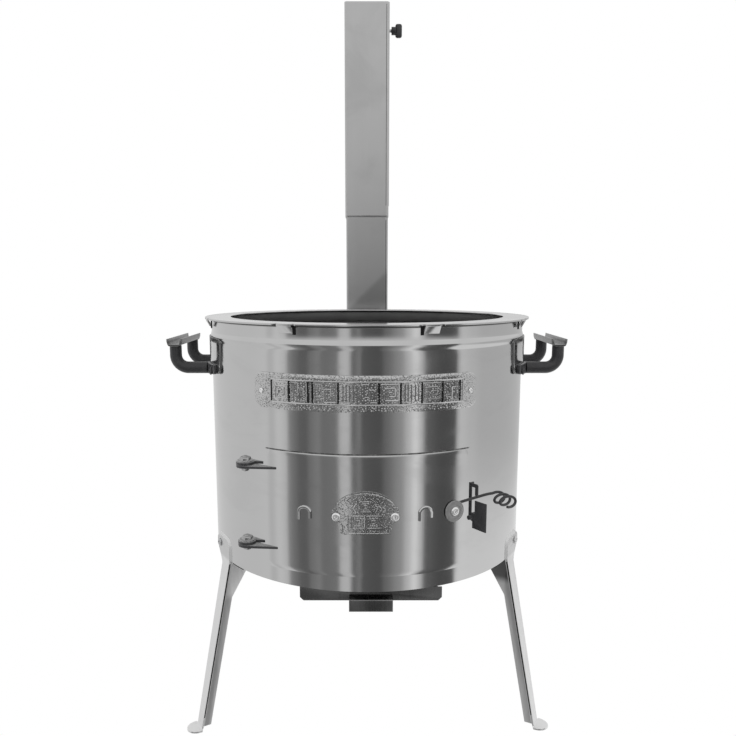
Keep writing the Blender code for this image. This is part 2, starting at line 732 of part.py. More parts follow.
def make_handle(side_name, side, parts, guides, shell):
    """Back plate, two arms, channel grip and the two foot rivets of one handle."""
    middle = 90.0 * side
    stations = []
    corner = HANDLE_PLATE_CORNER
    for azimuth, low, high in rounded_stations(middle - HANDLE_PLATE_HALF, middle + HANDLE_PLATE_HALF,
                                               HANDLE_PLATE_LOW, HANDLE_PLATE_HIGH, corner, WALL_RADIUS):
        stations.append((azimuth, low, high + 0.7 * (HANDLE_PLATE_HIGH - high)))
    plate = curved_plate(f"{side_name}_handle_plate", HANDLE_PLATE_SEAT, SHEET, stations, parts)
    pieces = [plate]
    foot_face = HANDLE_PLATE_SEAT + SHEET + GAP + 0.003
    for end_name, end in (("front", -1), ("rear", 1)):
        arm = make_handle_arm(f"{side_name}_handle_{end_name}_arm", side, end, parts, guides)
        azimuth = middle + HANDLE_RIVET * end * side
        rivet = blind_rivet(f"{side_name}_handle_{end_name}_rivet", azimuth, HANDLE_LOW,
                            foot_face + GAP, WALL_RADIUS - SHEET - 0.0015, parts, head=0.0042)
        hole = rivet_hole(f"{side_name}_handle_{end_name}_hole", azimuth, HANDLE_LOW, guides)
        for item in (arm, plate, shell):
            cut(item, hole)
        pieces += [arm, rivet]

    floor = HANDLE_TIP + GAP
    half, lip, length = GRIP_FLOOR_HALF, GRIP_LIP_HALF, GRIP_HALF_LENGTH
    bm = bmesh.new()
    section = ((-lip, floor + GRIP_HEIGHT + SHEET), (-half, floor), (half, floor),
               (lip, floor + GRIP_HEIGHT + SHEET))
    rows = [[bm.verts.new((side * HANDLE_REACH + x, y, z)) for x, z in section] for y in (-length, length)]
    for k in range(3):
        bm.faces.new((rows[0][k], rows[0][k + 1], rows[1][k + 1], rows[1][k]))
    grip = mesh_object(f"{side_name}_handle_grip", bm, parts)
    solidify(grip, SHEET)
    grip.location = (0.0, STOVE_Y, 0.0)
    for end_name, end in (("front", -1), ("rear", 1)):
        y0, y1 = sorted((end * length, end * (length - SHEET)))
        lip_box = box(f"{side_name}_grip_{end_name}_lip", (side * HANDLE_REACH - half, y0, floor - 0.0008),
                      (side * HANDLE_REACH + half, y1, floor + SHEET / 2), guides)
        lip_box.location = (0.0, STOVE_Y, 0.0)
        join(grip, lip_box)
    pieces.append(grip)
    return pieces


def leg_radius(height):
    """Radius of the leg's inner face at a height."""
    start = WALL_RADIUS + GAP + 0.0002
    return start + max(0.0, WALL_BOTTOM - height) * math.tan(math.radians(LEG_SPLAY))


def leg_stations():
    """The leg's outer flange from its rounded tongue on the wall down to its foot."""
    fold = LEG_FOLD
    stations = []
    for z, left, right in ((0.2410, -0.0225, 0.0010), (0.2402, -0.0255, 0.0048), (0.2380, -0.0278, 0.0078),
                           (0.2340, -0.0286, fold), (0.2280, -0.0280, fold), (WALL_BOTTOM, -0.0185, fold),
                           (0.2085, -0.0110, fold), (0.0040, -0.0060, fold)):
        stations.append((-leg_radius(z), z, left, right))
    heel = leg_radius(0.0040)
    middle = (fold - 0.0060) / 2
    stations.append((-(heel + 0.0008), 0.0011, -0.0064, fold))
    stations.append((-(heel + 0.0030), 0.0, middle - FOOT_HALF, middle + FOOT_HALF))
    for k in range(1, 6):
        angle = math.radians(90 * k / 5.5)
        reach = heel + 0.0040 + (FOOT_LENGTH - 0.0040) * math.sin(angle)
        half = FOOT_HALF * math.cos(angle)
        stations.append((-reach, 0.0, middle - half, middle + half))
    return stations


def leg_lean(name, height):
    """How far a leg has moved along the wall at a height, as it leans to one side."""
    return LEG_LEANS[name] * max(0.0, WALL_BOTTOM - height) / WALL_BOTTOM


def make_leg(name, azimuth, fold_side, parts, guides, shell):
    """Folded leg: outer flange with tongue and foot, inner web with a gusset, and its bolt."""
    stations = []
    for y, z, left, right in leg_stations():
        low, high = sorted((left * fold_side, right * fold_side))
        lean = leg_lean(name, z)
        stations.append((y, z, low + lean, high + lean))
    leg = bent_strip(f"{name}_leg", stations, LEG_SHEET, parts)
    around(leg, azimuth)

    top = WALL_BOTTOM - GAP - 0.0003
    bend = WALL_BOTTOM - GUSSET_DROP
    bottom = 0.0045
    overlap = LEG_SHEET / 2
    web = [
        (leg_radius(top) + overlap, top), (leg_radius(bottom) + overlap, bottom),
        (leg_radius(bottom) - WEB_WIDTH, bottom), (leg_radius(bend) - WEB_WIDTH, bend),
        (leg_radius(top) - GUSSET_WIDTH, top),
    ]
    x = fold_side * (LEG_FOLD - LEG_SHEET / 2)
    bm = bmesh.new()
    bm.faces.new([bm.verts.new((x + leg_lean(name, z), -radius, z)) for radius, z in web])
    web_plate = mesh_object(f"{name}_leg_web", bm, guides)
    solidify(web_plate, LEG_SHEET, offset=0.0)
    around(web_plate, azimuth)
    join(leg, web_plate)

    shift = LEG_BOLT_SHIFT * fold_side
    seat = leg_radius(WALL_BOTTOM + 0.01) + LEG_SHEET + GAP
    bolt = blind_rivet(f"{name}_leg_bolt", azimuth, LEG_BOLT_HEIGHT, seat, WALL_RADIUS - SHEET - 0.005,
                       parts, head=0.0052, shank=0.0025, shift=shift)
    hole = rivet_hole(f"{name}_leg_hole", azimuth, LEG_BOLT_HEIGHT, guides, radius=0.0030, shift=shift)
    cut(leg, hole)
    cut(shell, hole)
    return [leg, bolt]


def make_floor(parts, guides):
    """Firebox floor with its ash opening, and the cast grate that covers it."""
    floor_top = WALL_BOTTOM + 0.002
    floor = rod("bottom_plate", WALL_RADIUS - SHEET - GAP, (0, 0, WALL_BOTTOM), (0, 0, floor_top), parts,
                sides=ROUND_STEPS)
    hole = rod("ash_hole", ASH_HOLE, (0, 0, WALL_BOTTOM - 0.01), (0, 0, floor_top + 0.01), guides, sides=48)
    low = floor_top + GAP
    grate = rod("fire_grate", GRATE_RADIUS, (0, 0, low), (0, 0, low + GRATE_HEIGHT), parts, sides=48)
    pitch = 2 * ASH_HOLE / (GRATE_SLOTS + 0.3)
    for k in range(GRATE_SLOTS):
        x = pitch * (k - (GRATE_SLOTS - 1) / 2)
        reach = math.sqrt((GRATE_RADIUS - 0.012) ** 2 - x ** 2)
        slot = box(f"grate_slot_{k + 1}", (x - pitch * 0.27, -reach, low - 0.01),
                   (x + pitch * 0.27, reach, low + GRATE_HEIGHT + 0.01), guides)
        slot.location = (0.0, STOVE_Y, 0.0)
        cut(grate, slot)
    for item in (floor, hole, grate):
        item.location = (0.0, STOVE_Y, 0.0)
    cut(floor, hole)
    return [floor, grate]


def make_ash_drawer(parts, guides):
    """Tray with its front plate and bent pull, and the two rails that it runs on."""
    middle, front = DRAWER_MIDDLE, DRAWER_FRONT
    top = WALL_BOTTOM - GAP
    chamfer = 0.004
    half = DRAWER_FRONT_HALF
    face = [(-half, top), (-half, DRAWER_FRONT_LOW + chamfer), (-half + chamfer, DRAWER_FRONT_LOW),
            (half - chamfer, DRAWER_FRONT_LOW), (half, DRAWER_FRONT_LOW + chamfer), (half, top)]
    bm = bmesh.new()
    bm.faces.new([bm.verts.new((middle + x, front + SHEET, z)) for x, z in face])
    drawer = mesh_object("ash_drawer", bm, parts)
    solidify(drawer, SHEET)

    back = front + SHEET
    tray = box("tray_block", (middle - TRAY_HALF, back - SHEET / 2, TRAY_LOW),
               (middle + TRAY_HALF, TRAY_BACK, TRAY_HIGH), guides)
    hollow = box("tray_hollow", (middle - TRAY_HALF + SHEET, back, TRAY_LOW + SHEET),
                 (middle + TRAY_HALF - SHEET, TRAY_BACK - SHEET, TRAY_HIGH + 0.01), guides)
    pull = [(front + SHEET / 2, PULL_LEVEL - SHEET), (front - PULL_REACH + SHEET, PULL_LEVEL - SHEET),
            (front - PULL_REACH + SHEET, PULL_LEVEL - PULL_DROP)]
    bm = bmesh.new()
    rows = [(bm.verts.new((middle - PULL_HALF, y, z)), bm.verts.new((middle + PULL_HALF, y, z)))
            for y, z in pull]
    for (left0, right0), (left1, right1) in zip(rows, rows[1:]):
        bm.faces.new((left0, left1, right1, right0))
    handle = mesh_object("drawer_pull", bm, guides)
    solidify(handle, SHEET)
    for item in (drawer, tray, hollow, handle):
        item.location = (0.0, STOVE_Y, 0.0)
    join(drawer, tray)
    cut(drawer, hollow)
    join(drawer, handle)

    rails = []
    for side_name, side in (("left", -1), ("right", 1)):
        wall_inner = middle + side * (TRAY_HALF + GAP)
        wall_outer = wall_inner + side * SHEET
        ledge = middle + side * (TRAY_HALF - 0.006)
        low = TRAY_LOW - GAP - SHEET
        y0, y1 = back + GAP, TRAY_BACK + 0.004
        x0, x1 = sorted((wall_inner, wall_outer))
        rail = box(f"{side_name}_drawer_rail", (x0, y0, low), (x1, y1, top), parts)
        x0, x1 = sorted((ledge, wall_outer - side * SHEET / 2))
        shelf = box(f"{side_name}_rail_ledge", (x0, y0, low), (x1, y1, low + SHEET), guides)
        for item in (rail, shelf):
            item.location = (0.0, STOVE_Y, 0.0)
        rails.append(join(rail, shelf))
    return drawer, rails


def make_flue_box(parts, guides):
    """Box against the wall with a square socket on top, in which the chimney stands."""
    half = SOCKET / 2 - 0.0030
    block = box("flue_box", (-half, 0.185, FLUE_BOX_LOW), (half, CHIMNEY_Y + half, FLUE_BOX_HIGH), parts)
    hollow = box("flue_hollow", (-half + SHEET, 0.170, FLUE_BOX_LOW + SHEET),
                 (half - SHEET, CHIMNEY_Y + half - SHEET, FLUE_BOX_HIGH - SHEET), guides)
    mouth_half = TUBE_LOWER / 2 - 0.0022
    mouth = box("flue_mouth", (-mouth_half, CHIMNEY_Y - mouth_half, FLUE_BOX_HIGH - 0.01),
                (mouth_half, CHIMNEY_Y + mouth_half, FLUE_BOX_HIGH + 0.05), guides)
    wall_side = rod("flue_wall_side", WALL_RADIUS + GAP, (0, 0, FLUE_BOX_LOW - 0.02),
                    (0, 0, FLUE_BOX_HIGH + 0.02), guides, sides=ROUND_STEPS)
    socket = square_tube("flue_socket", SOCKET, FLUE_BOX_HIGH - SHEET / 2, SOCKET_HIGH, 0.0015, guides,
                         corner=TUBE_CORNER + 0.0015)
    for item in (block, hollow, mouth, wall_side):
        item.location = (0.0, STOVE_Y, 0.0)
    cut(block, hollow, wall_side)
    join(block, socket)
    return cut(block, mouth)


def make_chimney(parts, guides):
    """Lower and upper tube; the upper one slides down outside the lower one."""
    lower = square_tube("chimney_lower", TUBE_LOWER, FLUE_BOX_HIGH + GAP, TUBE_JOINT + TUBE_LAP,
                        TUBE_WALL, parts)
    upper = square_tube("chimney_upper", TUBE_UPPER, TUBE_JOINT, CHIMNEY_TOP, TUBE_WALL, parts)
    stop = square_tube("chimney_stop", TUBE_UPPER - TUBE_WALL, TUBE_JOINT + TUBE_LAP + GAP,
                       TUBE_JOINT + TUBE_LAP + GAP + SHEET, 0.0025, guides)
    join(upper, stop)

    y = STOVE_Y + CHIMNEY_Y
    shaft = rod("damper_shaft", SHAFT_RADIUS, (-TUBE_UPPER / 2, 0, 0), (KNOB_START + 0.0050, 0, 0),
                parts, sides=16)
    bore = rod("damper_bore", SHAFT_RADIUS + GAP, (-0.060, 0, 0), (KNOB_START + 0.0054, 0, 0), guides, sides=16)
    plate_y = SHAFT_RADIUS + GAP
    plate = box("damper_plate", (-DAMPER_HALF, plate_y, -DAMPER_HALF),
                (DAMPER_HALF, plate_y + SHEET, DAMPER_HALF), parts)
    nut_face = -TUBE_UPPER / 2 + TUBE_WALL + GAP
    nut = rod("damper_nut", 0.0045, (nut_face, 0, 0), (nut_face + 0.0030, 0, 0), parts, sides=6)
    knob = rod("damper_knob", 0.0060, (KNOB_START, 0, 0), (KNOB_START + KNOB_HUB, 0, 0), parts, sides=20)
    wing = box("knob_wing", (KNOB_START + KNOB_HUB - 0.0012, -0.0038, -KNOB_HALF),
               (KNOB_END, 0.0038, KNOB_HALF), guides)
    rounding = wing.modifiers.new("Rounding", "BEVEL")
    rounding.width = 0.0032
    rounding.segments = 3
    for item in (shaft, bore, plate, nut, knob, wing):
        item.location = (0.0, y, DAMPER_HEIGHT)
    join(knob, wing)
    cut(upper, bore)
    cut(knob, bore)
    cut(nut, bore)
    return {"lower": lower, "upper": upper, "damper": [shaft, plate, knob, nut]}


def build():
    clear_scene()
    parts = make_collection("kazan_stove")
    guides = make_collection("cutters")

    shell = make_body_shell(parts, guides)
    ring = make_support_ring(parts, guides)
    door = make_door(parts, guides)
    hinges = {side: make_hinge(side, level, parts, guides) for side, level in HINGE_LEVELS.items()}
    latch = make_latch(parts, guides)
    cut(door, latch["hole"])
    catch = make_catch(parts, guides)
    plates = make_plates(parts, guides, shell, door)
    handles = make_handle("left", -1, parts, guides, shell) + make_handle("right", 1, parts, guides, shell)
    legs = []
    for name, azimuth in LEG_AZIMUTHS.items():
        legs += make_leg(name, azimuth, -1 if name == "right" else 1, parts, guides, shell)
    floor, grate = make_floor(parts, guides)
    drawer, rails = make_ash_drawer(parts, guides)
    flue_box = make_flue_box(parts, guides)
    chimney = make_chimney(parts, guides)

    looks = {
        "latch_catch": BLACK, "latch_lever": BLACK, "damper_knob": BLACK, "fire_grate": DARK_IRON,
        "chimney_lower": BRUSHED, "chimney_upper": BRUSHED,
    }
    for item in parts.objects:
        look = looks.get(item.name, STEEL)
        if item.name.endswith(("_arm", "_lug")):
            look = BLACK
        elif any(word in item.name for word in ("rivet", "bolt", "nut", "disc")):
            look = ZINC
        finish(item, look)
        smooth(item)

    hinge_axis = pivot("door_hinge", (PIN_X, STOVE_Y + PIN_Y, DOOR_LOW), parts)
    door_pieces = [door] + plates["door"] + latch["door"]
    for side in hinges:
        door_pieces += hinges[side]["door"]
    for item in door_pieces:
        attach(item, hinge_axis)
    attach(latch["lever"], hinge_axis)

    damper_pivot = (0.0, STOVE_Y + CHIMNEY_Y, DAMPER_HEIGHT)
    damper_axis = pivot("damper_axis", damper_pivot, parts)
    for item in chimney["damper"]:
        attach(item, damper_axis)
    return parts


build()
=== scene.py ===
import math

import bmesh
import bpy
from mathutils import Matrix, Vector


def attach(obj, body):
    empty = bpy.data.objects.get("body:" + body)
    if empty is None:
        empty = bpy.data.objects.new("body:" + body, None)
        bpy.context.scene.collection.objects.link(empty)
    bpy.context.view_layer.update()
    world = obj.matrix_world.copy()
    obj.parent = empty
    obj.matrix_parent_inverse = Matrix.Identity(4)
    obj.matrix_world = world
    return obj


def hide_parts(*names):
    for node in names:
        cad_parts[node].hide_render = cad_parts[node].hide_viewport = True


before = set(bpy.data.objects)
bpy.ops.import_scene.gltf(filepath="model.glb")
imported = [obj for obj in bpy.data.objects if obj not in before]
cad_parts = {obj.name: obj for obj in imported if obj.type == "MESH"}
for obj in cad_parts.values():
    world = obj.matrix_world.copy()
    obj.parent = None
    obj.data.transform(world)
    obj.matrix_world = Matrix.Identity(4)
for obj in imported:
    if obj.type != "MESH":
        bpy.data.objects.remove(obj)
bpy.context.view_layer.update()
print("stage: frame loaded,", len(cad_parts), "CAD nodes")

# the stove's own axis, its wall and the sheet metal that most pieces share (metres)
stove = {"axisY": -0.04105, "wall": 0.200, "sheet": 0.0015, "gap": 0.0004}
scene = bpy.context.scene
looks = {}


def onWall(azimuth, radius, height=0.0):
    # azimuth in degrees from the front, growing towards +X
    angle = math.radians(azimuth)
    return Vector((radius * math.sin(angle), stove["axisY"] - radius * math.cos(angle), height))


def alongWall(azimuth):
    # the same direction as a distance round the wall
    return math.radians(azimuth) * stove["wall"]


class Link:
    # one output socket, with the operators that build Math nodes
    def __init__(self, tree, socket):
        self.tree = tree
        self.socket = socket

    def other(self, name):
        return Link(self.tree, self.socket.node.outputs[name])

    def math(self, operation, *rest):
        values = dict(enumerate((self, *rest)))
        return addNode(self.tree, "ShaderNodeMath", {"operation": operation}, values)

    def __add__(self, value):
        return self.math("ADD", value)

    def __radd__(self, value):
        return self.math("ADD", value)

    def __sub__(self, value):
        return self.math("SUBTRACT", value)

    def __rsub__(self, value):
        return addNode(self.tree, "ShaderNodeMath", {"operation": "SUBTRACT"}, {0: value, 1: self})

    def __mul__(self, value):
        return self.math("MULTIPLY", value)

    def __rmul__(self, value):
        return self.math("MULTIPLY", value)

    def __truediv__(self, value):
        return self.math("DIVIDE", value)

    def __rtruediv__(self, value):
        return addNode(self.tree, "ShaderNodeMath", {"operation": "DIVIDE"}, {0: value, 1: self})

    def __pow__(self, value):
        return self.math("POWER", value)

    def ramp(self, low, high):
        # 0 to 1 as this value rises from low to high
        return addNode(self.tree, "ShaderNodeMapRange", {"interpolation_type": "SMOOTHSTEP"}, {
            "Value": self, "From Min": low, "From Max": high, "To Min": 0.0, "To Max": 1.0})

    def band(self, low, high, soft):
        # 1 between low and high, 0 outside, with soft edges
        return self.ramp(low - soft, low) * (1 - self.ramp(high, high + soft))


def addNode(tree, kind, settings=None, values=None):
    node = tree.nodes.new(kind)
    for key, value in (settings or {}).items():
        if key == "stops":
            stops = node.color_ramp.elements
            while len(stops) > 1:
                stops.remove(stops[-1])
            stops[0].position, stops[0].color = value[0][0], value[0][1]
            for position, colour in value[1:]:
                stops.new(position).color = colour
        elif key == "rampMode":
            node.color_ramp.interpolation = value
        else:
            setattr(node, key, value)
    for key, value in (values or {}).items():
        socket = node.inputs[key]
        if isinstance(value, Link):
            tree.links.new(value.socket, socket)
        else:
            socket.default_value = value
    shown = [output for output in node.outputs if output.enabled]
    return Link(tree, shown[0]) if shown else None


def mixColour(tree, factor, first, second, mode="MIX"):
    node = tree.nodes.new("ShaderNodeMix")
    node.data_type = "RGBA"
    node.blend_type = mode
    node.clamp_factor = True
    for socket, value in ((node.inputs[0], factor), (node.inputs[6], first), (node.inputs[7], second)):
        if isinstance(value, Link):
            tree.links.new(value.socket, socket)
        else:
            socket.default_value = (*value, 1.0) if isinstance(value, tuple) and len(value) == 3 else value
    return Link(tree, node.outputs[2])


def blankMaterial(name):
    material = bpy.data.materials.new(name)
    material.use_nodes = True
    tree = material.node_tree
    shader = tree.nodes["Principled BSDF"]
    return material, tree, shader


def plug(tree, shader, **sockets):
    names = {"colour": "Base Color", "roughness": "Roughness", "metallic": "Metallic", "normal": "Normal"}
    for key, value in sockets.items():
        socket = shader.inputs[names[key]]
        if isinstance(value, Link):
            tree.links.new(value.socket, socket)
        else:
            socket.default_value = value


def wallCoordinates(tree):
    # distance round the wall, height, and distance from the stove's axis
    place = addNode(tree, "ShaderNodeTexCoord").other("Object")
    parts = addNode(tree, "ShaderNodeSeparateXYZ", {}, {0: place})
    x, y, z = parts, parts.other("Y") - stove["axisY"], parts.other("Z")
    away = (x * x + y * y) ** 0.5
    turn = addNode(tree, "ShaderNodeMath", {"operation": "ARCTAN2"}, {0: x, 1: y * -1.0})
    return place, turn * stove["wall"], z, away


def vectorOf(tree, x, y, z):
    return addNode(tree, "ShaderNodeCombineXYZ", {}, {0: x, 1: y, 2: z})


def noise(tree, vector, scale, detail=2.0, rough=0.5, distortion=0.0):
    return addNode(tree, "ShaderNodeTexNoise", {"noise_dimensions": "3D"},
                   {"Vector": vector, "Scale": scale, "Detail": detail, "Roughness": rough,
                    "Distortion": distortion})


def bumpOf(tree, height, strength, distance, over=None):
    values = {"Height": height, "Strength": strength, "Distance": distance}
    if over:
        values["Normal"] = over
    return addNode(tree, "ShaderNodeBump", {}, values)


# bright rolled stainless sheet; painted shade darkens the wall just under the ring and along the narrow gap
# above the door (metres)
sheetLook = {
    "colour": (0.60, 0.60, 0.60), "smudge": (0.53, 0.53, 0.53), "spot": (0.40, 0.395, 0.385),
    "shadeTone": (0.045, 0.044, 0.043), "speckShade": (0.07, 0.07, 0.07), "inner": (0.33, 0.33, 0.33),
    "innerCloud": (0.27, 0.27, 0.27), "roughness": 0.095, "roughnessSpread": 0.05, "grain": 0.012,
    "waves": 0.045, "rim": (0.5052, 0.5066), "creviceShade": (0.3699, 0.3709), "creviceShadeEnds": (-0.1180, 0.1195),
    "speckShadeEnds": (-0.112, 0.106),
}


def rolledSheet(name, upright=True, roughness=None, inside=False, waves=None, hammered=None):
    # fine grain, slow waves, faint wiping marks; hammered is the radius of a face with small domes
    s = sheetLook
    material, tree, shader = blankMaterial(name)
    place, around, height, away = wallCoordinates(tree)
    base = s["roughness"] if roughness is None else roughness
    if upright:
        grainPlace = vectorOf(tree, around * 1600.0, height * 22.0, away * 40.0)
    else:
        grainPlace = vectorOf(tree, around * 30.0, height * 1500.0, away * 40.0)
    grain = noise(tree, grainPlace, 1.0, 2.0, 0.6)
    wiping = noise(tree, vectorOf(tree, around * 9.0, height * 26.0, away * 8.0), 1.0, 4.0, 0.62, 0.8)
    spots = noise(tree, place, 210.0, 3.0, 0.7)
    marks = wiping.ramp(0.46, 0.72)
    tint = mixColour(tree, marks * 0.32, s["colour"], s["smudge"])
    tint = mixColour(tree, spots.ramp(0.66, 0.8) * 0.16, tint, s["spot"])
    rough = grain * 0.05 + marks * s["roughnessSpread"] + (base - 0.02)
    slow = noise(tree, vectorOf(tree, around * 7.0, height * 3.2, 0.0), 1.0, 1.0, 0.4)
    relief = bumpOf(tree, slow, s["waves"] if waves is None else waves, 0.012)
    fine = bumpOf(tree, grain, s["grain"], 0.0005, relief)
    if inside:
        # the inner face is duller; painted shade darkens the wall just under the ring and, unevenly, along the
        # narrow gap above the door
        inner = 1 - away.ramp(stove["wall"] - 0.0011, stove["wall"] - 0.0004)
        cloud = noise(tree, place, 18.0, 4.0, 0.6).ramp(0.35, 0.7)
        dulled = mixColour(tree, cloud, s["inner"], s["innerCloud"])
        tint = mixColour(tree, inner, tint, dulled)
        rough = rough + inner * 0.22
        rim = height.ramp(*s["rim"])
        tint = mixColour(tree, rim * 0.9, tint, s["shadeTone"])
        rough = rough + rim * 0.3
        creviceShade = height.band(*s["creviceShade"], 0.0005) * around.band(*s["creviceShadeEnds"], 0.004)
        patchy = noise(tree, vectorOf(tree, around * 60.0, 0.0, 0.0), 1.0, 3.0, 0.6).ramp(0.34, 0.56)
        tint = mixColour(tree, creviceShade * (patchy * 0.6 + 0.4) * 0.85, tint, s["shadeTone"])
        rough = rough + creviceShade * 0.3
    if hammered:
        # painted shade and dark reflection: dark dots between the small domes, fewer towards the name band's
        # ends
        ground = 1 - away.ramp(hammered + 0.0003, hammered + 0.0006)
        shadeSpecks = noise(tree, place, 560.0, 2.0, 0.75).ramp(0.52, 0.60) * ground
        amount = around.band(*s["speckShadeEnds"], 0.02) * 0.58 + 0.10
        tint = mixColour(tree, shadeSpecks * amount, tint, s["speckShade"])
        rough = rough + shadeSpecks * 0.2
    plug(tree, shader, colour=tint, roughness=rough, metallic=1.0, normal=fine)
    return material


# legs splay from the wall's lower edge; "flange" is where the outer faces' cone meets the floor
legShape = {
    "azimuths": {"left": -58.7, "right": 61.3, "rear": 181.3}, "folds": {"left": 1, "right": -1, "rear": 1},
    "leans": {"left": -0.0088, "right": 0.0045, "rear": 0.0}, "top": 0.2154, "radius": 0.2006,
    "slope": 0.18353, "flange": 0.24013, "fold": 0.010, "line": 0.0009, "lineHigh": 0.2125,
    "lineLow": 0.016, "lineShift": 0.0006, "joint": 0.0007, "jointStart": 4.2, "jointStep": 1.4,
    "proud": 0.0018, "highlightSheet": 0.0003,
    # round the tongue: its edge as (along, height), then where the painted highlight strip meets the wall
    "fillet": (
        (0.0100, 0.2162, 0.0128, 0.2162), (0.0100, 0.2280, 0.0128, 0.2280),
        (0.0100, 0.2335, 0.0128, 0.2345), (0.0078, 0.2380, 0.0100, 0.2399),
        (0.0048, 0.2402, 0.0062, 0.2428), (0.0010, 0.2410, 0.0014, 0.2439),
        (-0.0225, 0.2410, -0.0231, 0.2439), (-0.0255, 0.2402, -0.0273, 0.2424),
        (-0.0278, 0.2380, -0.0304, 0.2392), (-0.0286, 0.2340, -0.0314, 0.2342),
        (-0.0280, 0.2280, -0.0308, 0.2276),
    ),
}


# heights of the flue's painted dark reflection and of its darker part below the joint
flueDarkLook = {"low": 0.532, "high": 0.545, "slant": 0.97, "jointLow": 0.652, "jointHigh": 0.6545}
# painted light and shade on the legs: darker inner faces, and under the wall a bright left web and a dark right
# web
legLook = {
    "inner": (0.56, 0.56, 0.56), "tongue": (0.66, 0.66, 0.66), "leftWebLit": (0.86, 0.86, 0.86),
    "rightWebShaded": (0.13, 0.13, 0.13), "webLow": 0.164, "webHigh": 0.176, "rightShadeRise": 0.018,
    "tongueLow": 0.2140, "tongueHigh": 0.2200,
}


def brushedSteel(name, colour, roughness, dirt=0.25, darkenedFlue=False, gusset=False):
    # fine upright brush marks, duller and softer than the rolled sheet
    material, tree, shader = blankMaterial(name)
    place = addNode(tree, "ShaderNodeTexCoord").other("Object")
    parts = addNode(tree, "ShaderNodeSeparateXYZ", {}, {0: place})
    x, y, z = parts, parts.other("Y"), parts.other("Z")
    grain = noise(tree, vectorOf(tree, x * 1500.0, y * 1500.0, z * 14.0), 1.0, 3.0, 0.65)
    broad = noise(tree, vectorOf(tree, x * 60.0, y * 60.0, z * 2.4), 1.0, 3.0, 0.6)
    blotch = noise(tree, place, 14.0, 4.0, 0.6, 0.6).ramp(0.45, 0.75)
    tint = mixColour(tree, grain * 0.20, colour, tuple(c * 0.82 for c in colour))
    tint = mixColour(tree, blotch * dirt, tint, tuple(c * 0.72 for c in colour))
    if darkenedFlue:
        # painted reflection: the tube darkens towards the stove below a slanting line; it is also a little
        # darker below its joint
        darkLook = flueDarkLook
        slant = 1 - (z - x * darkLook["slant"]).ramp(darkLook["low"], darkLook["high"])
        tint = mixColour(tree, slant * 0.62, tint, tuple(c * 0.42 for c in colour))
        below = 1 - z.ramp(darkLook["jointLow"], darkLook["jointHigh"])
        tint = mixColour(tree, below * (0.35 + broad * 0.5) * 0.55, tint, tuple(c * 0.66 for c in colour))
    if gusset:
        # painted light and shade: the inner faces are painted darker, and under the wall the left leg's web is
        # painted bright and the right leg's web dark
        s, cone = legLook, legShape["flange"]
        away = (x * x + (y - stove["axisY"]) * (y - stove["axisY"])).math("SQRT")
        inside = 1 - (away + z * legShape["slope"]).ramp(cone - 0.0012, cone - 0.0004)
        tint = mixColour(tree, inside, tint, s["inner"])
        tint = mixColour(tree, z.ramp(s["tongueLow"], s["tongueHigh"]), tint, s["tongue"])
        onRight = x.ramp(-0.01, 0.01)
        tone = mixColour(tree, onRight, s["leftWebLit"], s["rightWebShaded"])
        high = z - onRight * s["rightShadeRise"]
        tint = mixColour(tree, inside * high.ramp(s["webLow"], s["webHigh"]), tint, tone)
    rough = grain * 0.10 + broad * 0.08 + blotch * 0.05 + (roughness - 0.10)
    relief = bumpOf(tree, broad, 0.06, 0.004)
    fine = bumpOf(tree, grain, 0.012, 0.0004, relief)
    plug(tree, shader, colour=tint, roughness=rough, metallic=1.0, normal=fine)
    return material


def blackPaint(name, colour=(0.022, 0.022, 0.024), roughness=0.36, wear=0.35, litTops=False):
    # satin heat-proof paint: slight orange peel, dust and a few rubbed places
    material, tree, shader = blankMaterial(name)
    place = addNode(tree, "ShaderNodeTexCoord").other("Object")
    peel = noise(tree, place, 900.0, 2.0, 0.5)
    dust = noise(tree, place, 65.0, 5.0, 0.65, 0.4).ramp(0.5, 0.8)
    rub = noise(tree, place, 240.0, 4.0, 0.7).ramp(0.68, 0.8)
    tint = mixColour(tree, dust * 0.4, colour, (0.075, 0.074, 0.072))
    tint = mixColour(tree, rub * wear, tint, (0.16, 0.155, 0.15))
    if litTops:
        # painted highlight: upper faces are painted a paler grey, in patches
        normal = addNode(tree, "ShaderNodeTexCoord").other("Normal")
        facing = addNode(tree, "ShaderNodeSeparateXYZ", {}, {0: normal})
        upward = facing.other("Z").ramp(0.6, 0.9)
        patch = noise(tree, place, 160.0, 3.0, 0.6).ramp(0.25, 0.6)
        tint = mixColour(tree, upward * (patch * 0.5 + 0.5), tint, (0.24, 0.24, 0.24))
    rough = peel * 0.08 + dust * 0.16 + (roughness - 0.04)
    plug(tree, shader, colour=tint, roughness=rough, metallic=0.0, normal=bumpOf(tree, peel, 0.16, 0.0006))
    return material


def boltSteel(name, colour=(0.55, 0.555, 0.56), roughness=0.24, dark=0.3):
    # zinc-plated fasteners with handling marks
    material, tree, shader = blankMaterial(name)
    place = addNode(tree, "ShaderNodeTexCoord").other("Object")
    bloom = noise(tree, place, 420.0, 4.0, 0.7).ramp(0.4, 0.75)
    scratch = noise(tree, place, 1900.0, 2.0, 0.6)
    tint = mixColour(tree, bloom * dark, colour, tuple(c * 0.35 for c in colour))
    rough = bloom * 0.18 + scratch * 0.08 + (roughness - 0.06)
    plug(tree, shader, colour=tint, roughness=rough, metallic=1.0, normal=bumpOf(tree, scratch, 0.12, 0.0002))
    return material


def castIron(name):
    material, tree, shader = blankMaterial(name)
    place = addNode(tree, "ShaderNodeTexCoord").other("Object")
    sand = noise(tree, place, 700.0, 4.0, 0.7)
    rust = noise(tree, place, 40.0, 5.0, 0.7).ramp(0.52, 0.72)
    tint = mixColour(tree, rust * 0.6, (0.055, 0.054, 0.052), (0.13, 0.075, 0.045))
    rough = sand * 0.2 + 0.55
    plug(tree, shader, colour=tint, roughness=rough, metallic=0.3, normal=bumpOf(tree, sand, 0.5, 0.0012))
    return material


